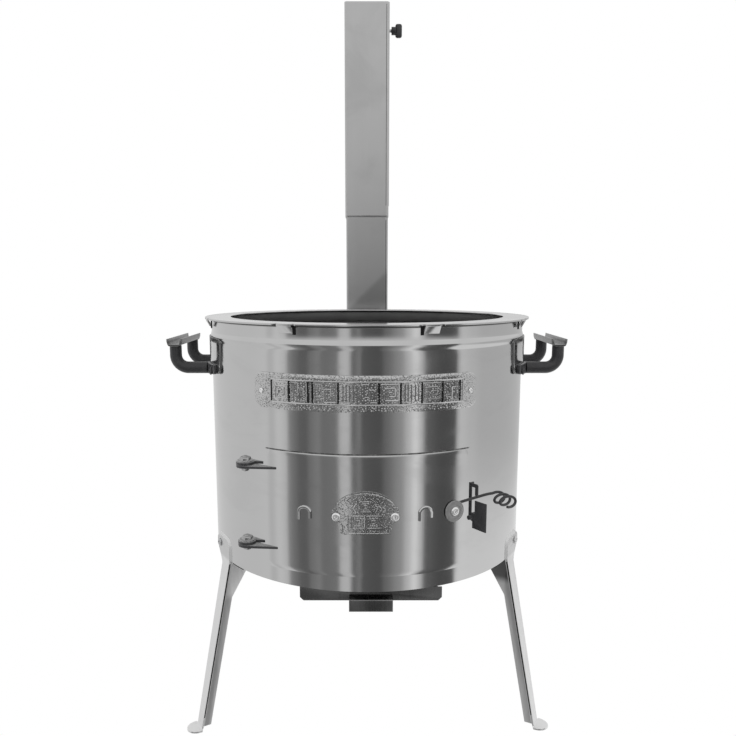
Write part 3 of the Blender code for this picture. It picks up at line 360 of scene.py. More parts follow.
looks["wall"] = rolledSheet("wall_steel", inside=True)
looks["door"] = rolledSheet("door_steel")
looks["ring"] = rolledSheet("ring_steel", upright=False, roughness=0.16, waves=0.04)
looks["plate"] = rolledSheet("ornament_steel", roughness=0.10, waves=0.02, hammered=0.2014)
looks["emblem"] = rolledSheet("emblem_steel", roughness=0.10, waves=0.02, hammered=0.2036)
# dark steel for the name band's bars and other dark lines, and for dark pieces that stand in for shade
looks["darkLinesAndShade"] = brushedSteel("dark_lines_and_shade", (0.025, 0.025, 0.025), 0.55)
looks["leg"] = brushedSteel("leg_steel", (0.86, 0.86, 0.86), 0.36, dirt=0.12, gusset=True)
# ground weld, and the pale satin of the legs' painted edge highlight
looks["weldAndHighlight"] = brushedSteel("ground_weld_and_highlight", (0.84, 0.84, 0.84), 0.62, dirt=0.15)
# painted shade: dark steel for the handle plates' turned edge, for the shade in the gap round each plate
looks["seam"] = brushedSteel("plate_rim_shade", (0.26, 0.26, 0.26), 0.45)
looks["rail"] = brushedSteel("rail_steel", (0.56, 0.56, 0.56), 0.36, dirt=0.12)
looks["grip"] = brushedSteel("grip_steel", (0.24, 0.24, 0.24), 0.28)
looks["flue"] = brushedSteel("flue_steel", (0.56, 0.56, 0.56), 0.32, dirt=0.22, darkenedFlue=True)
looks["drawer"] = brushedSteel("drawer_steel", (0.17, 0.17, 0.17), 0.26, dirt=0.4)
looks["paint"] = blackPaint("black_paint")
looks["hinge"] = blackPaint("hinge_black", (0.03, 0.03, 0.032), 0.28, 0.7, litTops=True)
looks["bolt"] = boltSteel("zinc_bolt")
looks["disc"] = boltSteel("zinc_disc", (0.40, 0.40, 0.40), 0.42, 0.2)
looks["pinBolt"] = boltSteel("pin_bolt", (0.46, 0.46, 0.46), 0.20, 0.5)
looks["rivet"] = boltSteel("rivet_aluminium", (0.94, 0.94, 0.94), 0.24, 0.2)
looks["iron"] = castIron("grate_iron")
print("stage: finishes made,", len(looks))


def meshOf(name, bm):
    mesh = bpy.data.meshes.new(name)
    bm.to_mesh(mesh)
    bm.free()
    return mesh


def newPiece(name, mesh):
    piece = bpy.data.objects.new(name, mesh)
    scene.collection.objects.link(piece)
    return piece


def keepMesh(name, bm, look, body, nodes=(), smoothAngle=35.0):
    # a closed finished piece: its finish, the CAD body it rides on and the nodes it stands for
    bmesh.ops.recalc_face_normals(bm, faces=bm.faces)
    return settle(newPiece(name, meshOf(name, bm)), look, body, nodes, smoothAngle)


def settle(piece, look, body, nodes=(), smoothAngle=35.0):
    mesh = piece.data
    mesh.materials.clear()
    mesh.materials.append(looks[look])
    mesh.shade_smooth()
    mesh.set_sharp_from_angle(angle=math.radians(smoothAngle))
    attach(piece, body)
    if nodes:
        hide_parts(*nodes)
    return piece


def hideMirror(*pieces):
    # the bright wall shows no mirror image of these
    for piece in pieces:
        piece.visible_glossy = False


def flatten(piece):
    # modifiers become plain mesh
    depsgraph = bpy.context.evaluated_depsgraph_get()
    mesh = bpy.data.meshes.new_from_object(piece.evaluated_get(depsgraph))
    piece.modifiers.clear()
    piece.data = mesh
    return piece


def rounded(piece, width, segments=2, angle=30.0):
    bevel = piece.modifiers.new("edges", "BEVEL")
    bevel.width = width
    bevel.segments = segments
    bevel.limit_method = "ANGLE"
    bevel.angle_limit = math.radians(angle)
    bevel.use_clamp_overlap = True
    return piece


def fromNode(node, look, body, width=0.0004, segments=2):
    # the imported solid, welded, its edges eased
    bm = bmesh.new()
    bm.from_mesh(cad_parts[node].data)
    bmesh.ops.remove_doubles(bm, verts=bm.verts, dist=0.000004)
    bmesh.ops.dissolve_limit(bm, angle_limit=math.radians(0.6), verts=bm.verts, edges=bm.edges)
    name = node + "_dressed"
    piece = rounded(newPiece(name, meshOf(name, bm)), width, segments)
    return settle(flatten(piece), look, body, (node,), 40.0)


def sheetOf(name, mesh, thickness, offset, edge):
    # thickness given to a face, with eased edges
    piece = newPiece(name, mesh)
    solid = piece.modifiers.new("sheet", "SOLIDIFY")
    solid.thickness = thickness
    solid.offset = offset
    solid.use_even_offset = True
    if edge:
        rounded(piece, edge, 2, 50.0)
    return flatten(piece)


def thicken(bm, name, thickness, look, body, nodes=(), edge=0.0003, offset=-1.0, smoothAngle=35.0):
    # a sheet from its outer face
    piece = sheetOf(name, meshOf(name, bm), thickness, offset, edge)
    return settle(piece, look, body, nodes, smoothAngle)


def prismInto(bm, first, last):
    # closed bar between two matching outlines
    count = len(first)
    rings = [[bm.verts.new(place) for place in outline] for outline in (first, last)]
    bm.faces.new(rings[0])
    bm.faces.new(rings[1])
    for k in range(count):
        n = (k + 1) % count
        bm.faces.new((rings[0][k], rings[0][n], rings[1][n], rings[1][k]))


def latheInto(bm, profile, steps, place):
    # profile of (radius, height) about local Z, set down by the matrix
    rings = []
    for radius, height in profile:
        if radius < 1e-7:
            rings.append([bm.verts.new(place @ Vector((0.0, 0.0, height)))])
            continue
        ring = []
        for k in range(steps):
            angle = 2 * math.pi * k / steps
            point = Vector((radius * math.cos(angle), radius * math.sin(angle), height))
            ring.append(bm.verts.new(place @ point))
        rings.append(ring)
    for first, second in zip(rings, rings[1:]):
        for k in range(steps):
            n = (k + 1) % steps
            if len(first) == 1 and len(second) == 1:
                continue
            if len(first) == 1:
                bm.faces.new((first[0], second[k], second[n]))
            elif len(second) == 1:
                bm.faces.new((first[k], second[0], first[n]))
            else:
                bm.faces.new((first[k], second[k], second[n], first[n]))


def outward(azimuth, radius, height):
    # a frame whose Z points straight out from the wall
    place = onWall(azimuth, radius, height)
    angle = math.radians(azimuth)
    upright = Matrix.Rotation(math.radians(90), 4, "X")
    return Matrix.Translation(place) @ Matrix.Rotation(angle, 4, "Z") @ upright


def softCurve(points, passes=2):
    # corner cutting, ends kept
    for _ in range(passes):
        cut = [points[0]]
        for first, second in zip(points, points[1:]):
            cut.append(first.lerp(second, 0.25))
            cut.append(first.lerp(second, 0.75))
        cut.append(points[-1])
        points = cut
    return points


def tube(name, points, radius, look, body, nodes=(), resolution=2):
    # a round wire or bar along the points, its ends capped
    curve = bpy.data.curves.new(name + "_line", "CURVE")
    curve.dimensions = "3D"
    curve.bevel_depth = radius
    curve.bevel_resolution = resolution
    curve.use_fill_caps = True
    spline = curve.splines.new("POLY")
    spline.points.add(len(points) - 1)
    for point, place in zip(spline.points, points):
        point.co = (*place, 1.0)
    drawn = newPiece(name + "_line", curve)
    depsgraph = bpy.context.evaluated_depsgraph_get()
    bm = bmesh.new()
    bm.from_mesh(bpy.data.meshes.new_from_object(drawn.evaluated_get(depsgraph)))
    bpy.data.objects.remove(drawn, do_unlink=True)
    bmesh.ops.remove_doubles(bm, verts=bm.verts, dist=0.00001)
    return settle(newPiece(name, meshOf(name, bm)), look, body, nodes, 50.0)


def roundedSpans(left, right, low, high, corner, step):
    # columns (azimuth, low, high) of a plate with round corners
    cornerAngle = math.degrees(corner / stove["wall"])
    ends = []
    for k in range(9):
        turn = math.radians(90.0 * k / 8)
        ends.append((left + cornerAngle * (1 - math.cos(turn)), corner * (1 - math.sin(turn))))
    straight = right - left - 2 * cornerAngle
    count = max(2, round(straight / step))
    inner = [(left + cornerAngle + straight * k / count, 0.0) for k in range(1, count)]
    spans = ends + inner + [(left + right - azimuth, inset) for azimuth, inset in reversed(ends)]
    return [(azimuth, low + inset, high - inset) for azimuth, inset in spans]


def bentGrid(spans, rows, radiusAt):
    # a face round the stove's axis: columns from the spans, rows by share of the height
    bm = bmesh.new()
    columns = []
    for azimuth, low, high in spans:
        column = []
        for k in range(rows + 1):
            height = low + (high - low) * k / rows
            column.append(bm.verts.new(onWall(azimuth, radiusAt(azimuth, height), height)))
        columns.append(column)
    for first, second in zip(columns, columns[1:]):
        for k in range(rows):
            bm.faces.new((first[k], second[k], second[k + 1], first[k + 1]))
    return bm


# firebox wall: door and flue openings, rolled bead under the ring; rows are the heights of its mesh
wallShape = {
    "low": 0.2154, "high": 0.5076, "columns": 300, "beadMiddle": 0.4870, "beadHeight": 0.0118,
    "beadDepth": 0.0013, "doorLeft": -30.6, "doorRight": 30.9, "doorLow": 0.2435, "doorHigh": 0.3600,
    "doorCorner": 0.005, "flueHalf": 8.26, "flueLow": 0.336, "flueHigh": 0.399, "beadRows": 16,
    "rows": (0.226, 0.235, 0.26, 0.28, 0.30, 0.32, 0.348, 0.375, 0.42, 0.44, 0.46, 0.475, 0.5025),
}


def beadBulge(height):
    share = (height - wallShape["beadMiddle"]) / (wallShape["beadHeight"] / 2)
    return wallShape["beadDepth"] * math.cos(share * math.pi / 2) ** 1.4 if abs(share) < 1 else 0.0


def makeWall():
    s = wallShape
    half = s["beadHeight"] / 2
    rows = [s["low"], s["doorLow"], s["flueLow"], s["doorHigh"], s["flueHigh"], s["high"], *s["rows"]]
    rows += [s["beadMiddle"] - half + 2 * half * k / s["beadRows"] for k in range(s["beadRows"] + 1)]
    rows.sort()
    azimuths = {round(-180 + 360 * k / s["columns"], 4) for k in range(s["columns"])}
    cornerAngle = math.degrees(s["doorCorner"] / stove["wall"])
    corners = {}
    for k in range(7):
        turn = math.radians(90.0 * k / 6)
        inset = s["doorCorner"] * (1 - math.sin(turn))
        for edge, sign in ((s["doorLeft"], 1), (s["doorRight"], -1)):
            azimuth = round(edge + sign * cornerAngle * (1 - math.cos(turn)), 4)
            corners[azimuth] = inset
    azimuths |= set(corners) | {180 - s["flueHalf"], -180 + s["flueHalf"]}
    azimuths = sorted(azimuths)
    lowRow, highRow = rows.index(s["doorLow"]), rows.index(s["doorHigh"])
    flueRows = (rows.index(s["flueLow"]), rows.index(s["flueHigh"]))
    bm = bmesh.new()
    columns = []
    for azimuth in azimuths:
        inset = corners.get(azimuth, 0.0)
        column = []
        for k, height in enumerate(rows):
            if k == lowRow:
                height += inset
            if k == highRow:
                height -= inset
            column.append(bm.verts.new(onWall(azimuth, stove["wall"] + beadBulge(height), height)))
        columns.append(column)
    count = len(azimuths)
    for i in range(count):
        n = (i + 1) % count
        first, second = azimuths[i], azimuths[n]
        middle = (first + (second if n else second + 360)) / 2
        inDoor = s["doorLeft"] < middle < s["doorRight"]
        inFlue = abs(middle) > 180 - s["flueHalf"]
        for k in range(len(rows) - 1):
            if (inDoor and lowRow <= k < highRow) or (inFlue and flueRows[0] <= k < flueRows[1]):
                continue
            bm.faces.new((columns[i][k], columns[n][k], columns[n][k + 1], columns[i][k + 1]))
    return thicken(bm, "firebox_wall", stove["sheet"], "wall", "stove", ("body_shell",),
                   edge=0.0, smoothAngle=45.0)


makeWall()

# door skin and its two lanced arches
doorShape = {
    "left": -33.7, "right": 34.0, "low": 0.2335, "high": 0.3700, "corner": 0.005, "skin": 0.2019,
    "step": 0.75, "rows": 26, "edge": 0.00035, "archAzimuths": (-19.9, 18.6), "archMiddle": 0.3035,
    "archHalf": 0.0070, "archLeg": 0.0085, "archWire": 0.0017,
}


def doorRadius(azimuth, height):
    # the sheet isn't perfectly round: two slow waves of a few hundredths of a millimetre
    wave = 0.00006 * math.sin(math.radians(azimuth * 9.0 + 40.0))
    wave += 0.00004 * math.sin(height * 60.0 + azimuth * 0.08)
    return doorShape["skin"] + wave - 0.0001


def makeDoor():
    s = doorShape
    spans = roundedSpans(s["left"], s["right"], s["low"], s["high"], s["corner"], s["step"])
    bm = bentGrid(spans, s["rows"], doorRadius)
    thicken(bm, "door_skin", stove["sheet"], "door", "door", ("door_panel",), s["edge"])


makeDoor()
print("stage: wall and door made")


def newTree(name, inputs):
    tree = bpy.data.node_groups.new(name, "GeometryNodeTree")
    tree.interface.new_socket("Geometry", in_out="INPUT", socket_type="NodeSocketGeometry")
    for label, kind, value in inputs:
        socket = tree.interface.new_socket(label, in_out="INPUT", socket_type=kind)
        if value is not None:
            socket.default_value = value
    tree.interface.new_socket("Geometry", in_out="OUTPUT", socket_type="NodeSocketGeometry")
    entry = tree.nodes.new("NodeGroupInput")
    return tree, {output.name: Link(tree, output) for output in entry.outputs if output.name}


def endTree(tree, geometry, look):
    real = addNode(tree, "GeometryNodeRealizeInstances", {}, {"Geometry": geometry})
    done = addNode(tree, "GeometryNodeSetMaterial", {}, {"Geometry": real, "Material": looks[look]})
    leave = tree.nodes.new("NodeGroupOutput")
    tree.links.new(done.socket, leave.inputs["Geometry"])
    return tree


def grow(name, tree, seedMesh, values, look, body, smoothAngle=40.0):
    # run a tree on a seed mesh and keep the plain result
    piece = newPiece(name, seedMesh)
    modifier = piece.modifiers.new("grown", "NODES")
    modifier.node_group = tree
    items = [item for item in tree.interface.items_tree if item.in_out == "INPUT"]
    sockets = {item.name: item.identifier for item in items}
    for label, value in values.items():
        modifier[sockets[label]] = value
    flatten(piece)
    return settle(piece, look, body, (), smoothAngle)


def onAxisTree(tree, place, radius):
    # bends flat (distance along, out, up) positions round the stove's axis
    parts = addNode(tree, "ShaderNodeSeparateXYZ", {}, {0: place})
    angle = parts / stove["wall"]
    away = radius + parts.other("Y")
    x = away * angle.math("SINE")
    y = stove["axisY"] - away * angle.math("COSINE")
    return vectorOf(tree, x, y, parts.other("Z"))


def lineMesh(name, lines):
    # edges only, for a tree to sweep
    mesh = bpy.data.meshes.new(name)
    verts, edges = [], []
    for line in lines:
        start = len(verts)
        verts += [tuple(point) for point in line]
        edges += [(start + k, start + k + 1) for k in range(len(line) - 1)]
    mesh.from_pydata(verts, edges, [])
    return mesh


def ridges(name, lines, look, body, ridge, fillet, seat):
    # round ridges swept along flat lines, which are bent round the wall at the seat's radius
    tree, ins = newTree("ridges of " + name, [
        ("Ridge", "NodeSocketFloat", 0.001), ("Fillet", "NodeSocketFloat", 0.0006),
        ("Seat", "NodeSocketFloat", 0.2014),
    ])
    curve = addNode(tree, "GeometryNodeMeshToCurve", {}, {"Mesh": ins["Geometry"]})
    soft = addNode(tree, "GeometryNodeFilletCurve", {"mode": "POLY"}, {
        "Curve": curve, "Radius": ins["Fillet"], "Limit Radius": True, "Count": 3})
    fine = addNode(tree, "GeometryNodeResampleCurve", {"mode": "LENGTH"}, {"Curve": soft, "Length": 0.0006})
    place = addNode(tree, "GeometryNodeInputPosition")
    bent = addNode(tree, "GeometryNodeSetPosition", {}, {
        "Geometry": fine, "Position": onAxisTree(tree, place, ins["Seat"])})
    profile = addNode(tree, "GeometryNodeCurvePrimitiveCircle", {}, {"Resolution": 8, "Radius": ins["Ridge"]})
    swept = addNode(tree, "GeometryNodeCurveToMesh", {}, {
        "Curve": bent, "Profile Curve": profile, "Fill Caps": True})
    endTree(tree, swept, look)
    values = {"Ridge": ridge, "Fillet": fillet, "Seat": seat}
    return grow(name, tree, lineMesh(name + "_lines", lines), values, look, body)


def hammering(name, spans, look, body, face, spacing, dome, seed):
    # small hammered domes scattered over a bent face
    tree, ins = newTree("domes of " + name, [
        ("Spacing", "NodeSocketFloat", 0.0018), ("Dome", "NodeSocketFloat", 0.0008),
        ("Seed", "NodeSocketInt", 7),
    ])
    points = addNode(tree, "GeometryNodeDistributePointsOnFaces", {"distribute_method": "POISSON"}, {
        "Mesh": ins["Geometry"], "Distance Min": ins["Spacing"], "Density Max": 900000.0,
        "Seed": ins["Seed"]})
    turn = points.other("Rotation")
    ball = addNode(tree, "GeometryNodeMeshUVSphere", {}, {"Segments": 7, "Rings": 4, "Radius": ins["Dome"]})
    size = addNode(tree, "FunctionNodeRandomValue", {"data_type": "FLOAT"}, {
        2: 0.55, 3: 1.15, "Seed": ins["Seed"]})
    flat = addNode(tree, "GeometryNodeTransform", {}, {"Geometry": ball, "Scale": (1.0, 1.0, 0.55)})
    many = addNode(tree, "GeometryNodeInstanceOnPoints", {}, {
        "Points": points, "Instance": flat, "Rotation": turn, "Scale": size})
    endTree(tree, many, look)
    ground = meshOf(name + "_ground", bentGrid(spans, 6, lambda azimuth, height: face))
    values = {"Spacing": spacing, "Dome": dome, "Seed": seed}
    return grow(name, tree, ground, values, look, body, 60.0)


# name band: frame, meander, dark bars and hammered ground, no lettering
bandShape = {
    "left": -38.8, "right": 37.3, "low": 0.4165, "high": 0.4560, "corner": 0.012, "face": 0.2014,
    "sheet": 0.0010, "frameLeft": -31.2, "frameRight": 31.3, "frameLow": 0.4246, "frameHigh": 0.4493,
    "ridge": 0.0009, "bar": 0.0010, "frameFillet": 0.0006, "meanderRidge": 0.000765,
    "meanderFillet": 0.0004, "meanderInset": 0.0026, "barFillet": 0.0002, "barInset": 0.0010,
    "stipple": 0.0020, "dome": 0.00105, "seed": 11, "groundSide": 0.7, "groundInset": 0.0016,
    # ornament blocks by azimuth, and the dark upright bars between them
    "blocks": ((-30.8, -25.3, "spiral"), (-24.1, -18.8, "key"), (-17.4, -9.5, "key"), (-7.6, -2.4, "bars"),
               (-1.6, 3.0, "key"), (4.3, 9.7, "spiral"), (11.2, 16.4, "bars"), (17.6, 23.4, "spiral"),
               (24.4, 29.6, "key")),
    "bars": (-31.2, -24.7, -18.2, -16.8, -8.7, 3.65, 10.3, 17.0, 23.9, 30.3),
}


def motifLines(kind, left, right, low, high):
    # line work of one ornament block: a square spiral, a double key or upright bars
    w, h = right - left, high - low
    if kind == "spiral":
        runs = [[(0.0, 0.0), (0.0, 1.0), (1.0, 1.0), (1.0, 0.12), (0.22, 0.12), (0.22, 0.78), (0.78, 0.78),
                 (0.78, 0.34), (0.44, 0.34), (0.44, 0.56), (0.60, 0.56)]]
    elif kind == "key":
        runs = [[(0.0, 0.0), (0.0, 1.0), (0.46, 1.0), (0.46, 0.30), (0.20, 0.30), (0.20, 0.70)],
                [(1.0, 1.0), (1.0, 0.0), (0.56, 0.0), (0.56, 0.70), (0.80, 0.70), (0.80, 0.30)]]
    else:
        runs = [[(x, 0.04), (x, 0.96)] for x in (0.08, 0.26, 0.46, 0.70, 0.90)]
    return [[(left + x * w, 0.0, low + y * h) for x, y in run] for run in runs]


def makeNameBand():
    s = bandShape
    spans = roundedSpans(s["left"], s["right"], s["low"], s["high"], s["corner"], 1.0)
    bm = bentGrid(spans, 6, lambda azimuth, height: s["face"])
    thicken(bm, "name_band", s["sheet"], "plate", "stove", ("name_plate",))
    left, right = alongWall(s["frameLeft"]), alongWall(s["frameRight"])
    border = [(left, 0, s["frameLow"]), (right, 0, s["frameLow"]), (right, 0, s["frameHigh"]),
              (left, 0, s["frameHigh"]), (left, 0, s["frameLow"] - 0.0004)]
    ridges("name_band_frame", [border], "plate", "stove", s["ridge"], s["frameFillet"], s["face"])
    low, high = s["frameLow"] + s["meanderInset"], s["frameHigh"] - s["meanderInset"]
    lines = []
    for first, last, kind in s["blocks"]:
        lines += motifLines(kind, alongWall(first), alongWall(last), low, high)
    ridges("name_band_meander", lines, "plate", "stove", s["meanderRidge"], s["meanderFillet"], s["face"])
    low, high = s["frameLow"] + s["barInset"], s["frameHigh"] - s["barInset"]
    bars = [[(alongWall(azimuth), 0.0, low), (alongWall(azimuth), 0.0, high)] for azimuth in s["bars"]]
    ridges("name_band_bars", bars, "darkLinesAndShade", "stove", s["bar"], s["barFillet"], s["face"])
    side, inset = s["groundSide"], s["groundInset"]
    ground = roundedSpans(s["left"] + side, s["right"] - side, s["low"] + inset, s["high"] - inset,
                          s["corner"] * 0.8, 1.0)
    hammering("name_band_hammering", ground, "plate", "stove", s["face"], s["stipple"], s["dome"], s["seed"])


makeNameBand()

# emblem on the door: domed shield, nested squares, chevrons and posts, hammered ground
emblemShape = {
    "azimuth": -0.42, "low": 0.2820, "top": 0.3305, "domeHalf": 0.0370, "baseHalf": 0.0265,
    "slantHalf": 0.0300, "face": 0.2033, "sheet": 0.0010, "earReach": 0.0314, "ear": 0.0062,
    "earHeight": 0.3018, "ridge": 0.0006, "fillet": 0.0003, "stipple": 0.0017, "dome": 0.00075, "seed": 23,
    "margin": 0.0016, "rimHalf": 0.0300, "rimInset": 0.0022, "rimSteps": 32, "footHalf": 0.0245,
    "footLift": 0.0018, "footRise": 0.0100,
    # nested squares as (along, height, half size), chevrons by first place and pitch, posts by ends
    "squares": ((-0.0080, 0.2968, 0.0068), (0.0085, 0.2968, 0.0068), (0.0, 0.3140, 0.0056)),
    "nested": (1.0, 0.62, 0.28), "chevrons": 3, "chevronStart": 0.0105, "chevronPitch": 0.0042,
    # each corner of a chevron as (along, height, height's step)
    "chevron": ((0.0, 0.3070, 0.0004), (0.0030, 0.3120, -0.0008), (-0.0008, 0.3170, -0.0018)),
    "post": 0.0185, "postLow": 0.2870, "postHigh": 0.3040,
}


def emblemSpans(margin=0.0):
    # columns of the shield: a dome over the rivets, an ear round each rivet, a slanted base
    s = emblemShape
    spans = []
    reach = s["earReach"] + s["ear"] - margin
    marks = [reach * math.sin(math.radians(90.0 * k / 36)) for k in range(37)]
    marks = sorted(set(marks + [s["baseHalf"], s["slantHalf"]]))
    for mark in [-value for value in reversed(marks[1:])] + marks:
        away = abs(mark)
        ear = math.sqrt(max(0.0, 1 - ((away - s["earReach"]) / s["ear"]) ** 2)) * s["ear"]
        dome = math.sqrt(max(0.0, 1 - (away / s["domeHalf"]) ** 2)) * (s["top"] - s["earHeight"])
        low, high = s["earHeight"] - ear, s["earHeight"] + max(ear, dome)
        if away <= s["baseHalf"]:
            low = s["low"]
        elif away < s["slantHalf"]:
            low = s["low"] + (low - s["low"]) * (away - s["baseHalf"]) / (s["slantHalf"] - s["baseHalf"])
        low, high = low + margin * 0.8, high - margin * 0.8
        if high - low < 0.0002:
            low, high = s["earHeight"] - 0.0001, s["earHeight"] + 0.0001
        spans.append((s["azimuth"] + math.degrees(mark / stove["wall"]), low, high))
    return spans


def emblemLines():
    # the relief as flat lines: rim, foot, squares, and on each side chevrons and a post
    s = emblemShape
    shift = alongWall(s["azimuth"])
    rim = []
    for k in range(s["rimSteps"] + 1):
        x = -s["rimHalf"] + 2 * s["rimHalf"] * k / s["rimSteps"]
        dome = math.sqrt(max(0.0, 1 - (x / s["domeHalf"]) ** 2)) * (s["top"] - s["earHeight"])
        rim.append((shift + x, 0.0, s["earHeight"] + dome - s["rimInset"]))
    foot, side = s["low"] + s["footLift"], s["footHalf"]
    base = [(shift - side, 0.0, foot + s["footRise"]), (shift - side, 0.0, foot), (shift + side, 0.0, foot),
            (shift + side, 0.0, foot + s["footRise"])]
    lines = [rim, base]
    for middle, height, size in s["squares"]:
        for share in s["nested"]:
            h = size * share
            corners = ((-h, -h), (-h, h), (h, h), (h, -h), (-h, -h - 0.0002))
            lines.append([(shift + middle + u, 0.0, height + v) for u, v in corners])
    for sign in (-1, 1):
        for k in range(s["chevrons"]):
            x = sign * (s["chevronStart"] + s["chevronPitch"] * k)
            lines.append([(shift + x + sign * out, 0.0, height + step * k)
                          for out, height, step in s["chevron"]])
        post = shift + sign * s["post"]
        lines.append([(post, 0.0, s["postLow"]), (post, 0.0, s["postHigh"])])
    return lines


def makeEmblem():
    s = emblemShape
    bm = bentGrid(emblemSpans(), 6, lambda azimuth, height: s["face"])
    thicken(bm, "emblem_shield", s["sheet"], "emblem", "door", ("emblem_plate",), edge=0.0)
    ridges("emblem_relief", emblemLines(), "emblem", "door", s["ridge"], s["fillet"], s["face"])
    ground = emblemSpans(s["margin"])
    hammering("emblem_hammering", ground, "emblem", "door", s["face"], s["stipple"], s["dome"], s["seed"])


def makeArches():
    # two small lanced arches beside the emblem, the right leg of each shorter
    s = doorShape
    arches = []
    for azimuth in s["archAzimuths"]:
        middle, half = alongWall(azimuth), s["archHalf"]
        arch = [(middle - half, 0.0, s["archMiddle"] - s["archLeg"])]
        for k in range(13):
            a = math.radians(180 - 15 * k)
            arch.append((middle + half * math.cos(a), 0.0, s["archMiddle"] + half * 0.9 * math.sin(a)))
        arch.append((middle + half, 0.0, s["archMiddle"] - s["archLeg"] * 0.7))
        arches.append(arch)
    ridges("door_arches", arches, "door", "door", s["archWire"], 0.0004, s["skin"])


makeEmblem()
makeArches()
print("stage: ornament plates made")

# support ring: flat top, relief notches, bent tabs

ringShape = {
    "outer": 0.2077, "hole": 0.176, "top": 0.510, "sheet": 0.002, "tabs": 8, "first": -25.3,
    "tabWidth": 0.018, "tabFoot": 0.20115, "tabDrop": 0.0105, "tabSheet": 0.0017, "tabStart": 0.0062,
    "bend": 0.0030, "notch": 0.0044, "notchDepth": 0.0050, "columns": 288, "innerRow": 0.004,
    "outerRow": 0.009, "edge": 0.0004, "notchShadeNear": 0.0018, "notchShadeFar": 0.0030, "notchShadeDrop": 0.0098,
    "notchShadeInset": 0.1,
}


def ringNotches():
    # the middle of each tab, and the azimuths between which the plate is cut beside it
    s = ringShape
    tabHalf = math.degrees(s["tabWidth"] / 2 / s["outer"])
    width = math.degrees(s["notch"] / s["outer"])
    tabs = [((s["first"] + 360.0 / s["tabs"] * k + 180) % 360) - 180 for k in range(s["tabs"])]
    notches = []
    for middle in tabs:
        for sign in (-1, 1):
            low = middle + sign * (tabHalf + width / 2) - width / 2
            notches.append((low, low + width))
    return tabs, notches


def makeRingPlate(notches):
    s = ringShape
    marks = {round(-180 + 360 * k / s["columns"], 4): s["outer"] for k in range(s["columns"])}
    deep = s["outer"] - s["notchDepth"]
    for low, high in notches:
        for azimuth in list(marks):
            if low - 0.12 < azimuth < high + 0.12:
                del marks[azimuth]
        marks[round(low - 0.01, 4)] = s["outer"]
        marks[round(low, 4)] = deep
        marks[round(high, 4)] = deep
        marks[round(high + 0.01, 4)] = s["outer"]
    bm = bmesh.new()
    columns = []
    for azimuth, outer in sorted(marks.items()):
        radii = (s["hole"], s["hole"] + s["innerRow"], s["outer"] - s["outerRow"], outer)
        columns.append([bm.verts.new(onWall(azimuth, radius, s["top"])) for radius in radii])
    for first, second in zip(columns, columns[1:] + columns[:1]):
        for k in range(3):
            bm.faces.new((first[k], first[k + 1], second[k + 1], second[k]))
    bmesh.ops.recalc_face_normals(bm, faces=bm.faces)
    if sum(face.normal.z for face in bm.faces) < 0:
        bmesh.ops.reverse_faces(bm, faces=bm.faces)
    thicken(bm, "ring_plate", s["sheet"], "ring", "ring", ("support_ring",), s["edge"])


def makeRingTabs():
    # one tab as a flat strip from its bend to its foot, repeated round the ring
    s = ringShape
    strip = bmesh.new()
    half, bend = s["tabWidth"] / 2, s["bend"]
    path = [(s["outer"] - s["tabStart"], s["top"] - 0.0003)]
    for k in range(6):
        a = math.radians(15 * k)
        path.append((s["outer"] - bend + bend * math.sin(a), s["top"] - bend - 0.0003 + bend * math.cos(a)))
    foot = s["top"] - s["tabDrop"]
    path += [(s["tabFoot"] + 0.0020, foot + 0.0004), (s["tabFoot"] + 0.0017, foot)]
    rows = [(strip.verts.new((-half, -r, z)), strip.verts.new((half, -r, z))) for r, z in path]
    for (a0, b0), (a1, b1) in zip(rows, rows[1:]):
        strip.faces.new((a0, a1, b1, b0))
    tab = newPiece("tab_seed", meshOf("tab_strip", strip))
    solid = tab.modifiers.new("sheet", "SOLIDIFY")
    solid.thickness = s["tabSheet"]
    solid.offset = -1.0
    flatten(rounded(tab, 0.0003, 2, 50.0))
    tree, ins = newTree("tabs round the ring", [
        ("Count", "NodeSocketInt", 8), ("First Angle", "NodeSocketFloat", 0.0),
        ("Axis Y", "NodeSocketFloat", 0.0),
    ])
    row = addNode(tree, "GeometryNodeMeshLine", {}, {"Count": ins["Count"], "Offset": (0.0, 0.0, 0.0)})
    index = addNode(tree, "GeometryNodeInputIndex")
    turn = vectorOf(tree, 0.0, 0.0, index * (2 * math.pi) / ins["Count"] + ins["First Angle"])
    many = addNode(tree, "GeometryNodeInstanceOnPoints", {}, {
        "Points": row, "Instance": ins["Geometry"], "Rotation": turn})
    moved = addNode(tree, "GeometryNodeTransform", {}, {
        "Geometry": many, "Translation": vectorOf(tree, 0.0, ins["Axis Y"], 0.0)})
    endTree(tree, moved, "ring")
    values = {"Count": s["tabs"], "First Angle": math.radians(s["first"]), "Axis Y": stove["axisY"]}
    grow("ring_tabs", tree, tab.data, values, "ring", "ring")
    bpy.data.objects.remove(tab, do_unlink=True)


def makeRingNotchShade(tabs, notches):
    # painted shade: a dark sheet under the ring, behind the notch of each tab that is nearer the front
    s = ringShape
    under = s["top"] - s["sheet"]
    near, far = s["tabFoot"] + s["notchShadeNear"], s["tabFoot"] + s["notchShadeFar"]
    notchShade = bmesh.new()
    for k, (low, high) in enumerate(notches):
        middle = tabs[k // 2]
        if (low > middle) == (middle > 0):
            continue
        section = ((near, under - s["notchShadeDrop"]), (far, under - s["notchShadeDrop"]), (far, under + 0.0002),
                   (near, under + 0.0002))
        prismInto(notchShade, *[[onWall(azimuth, radius, height) for radius, height in section]
                           for azimuth in (low + s["notchShadeInset"], high - s["notchShadeInset"])])
    hideMirror(keepMesh("ring_notch_shade", notchShade, "darkLinesAndShade", "ring", (), 40.0))


def makeRing():
    tabs, notches = ringNotches()
    makeRingPlate(notches)
    makeRingTabs()
    makeRingNotchShade(tabs, notches)


makeRing()

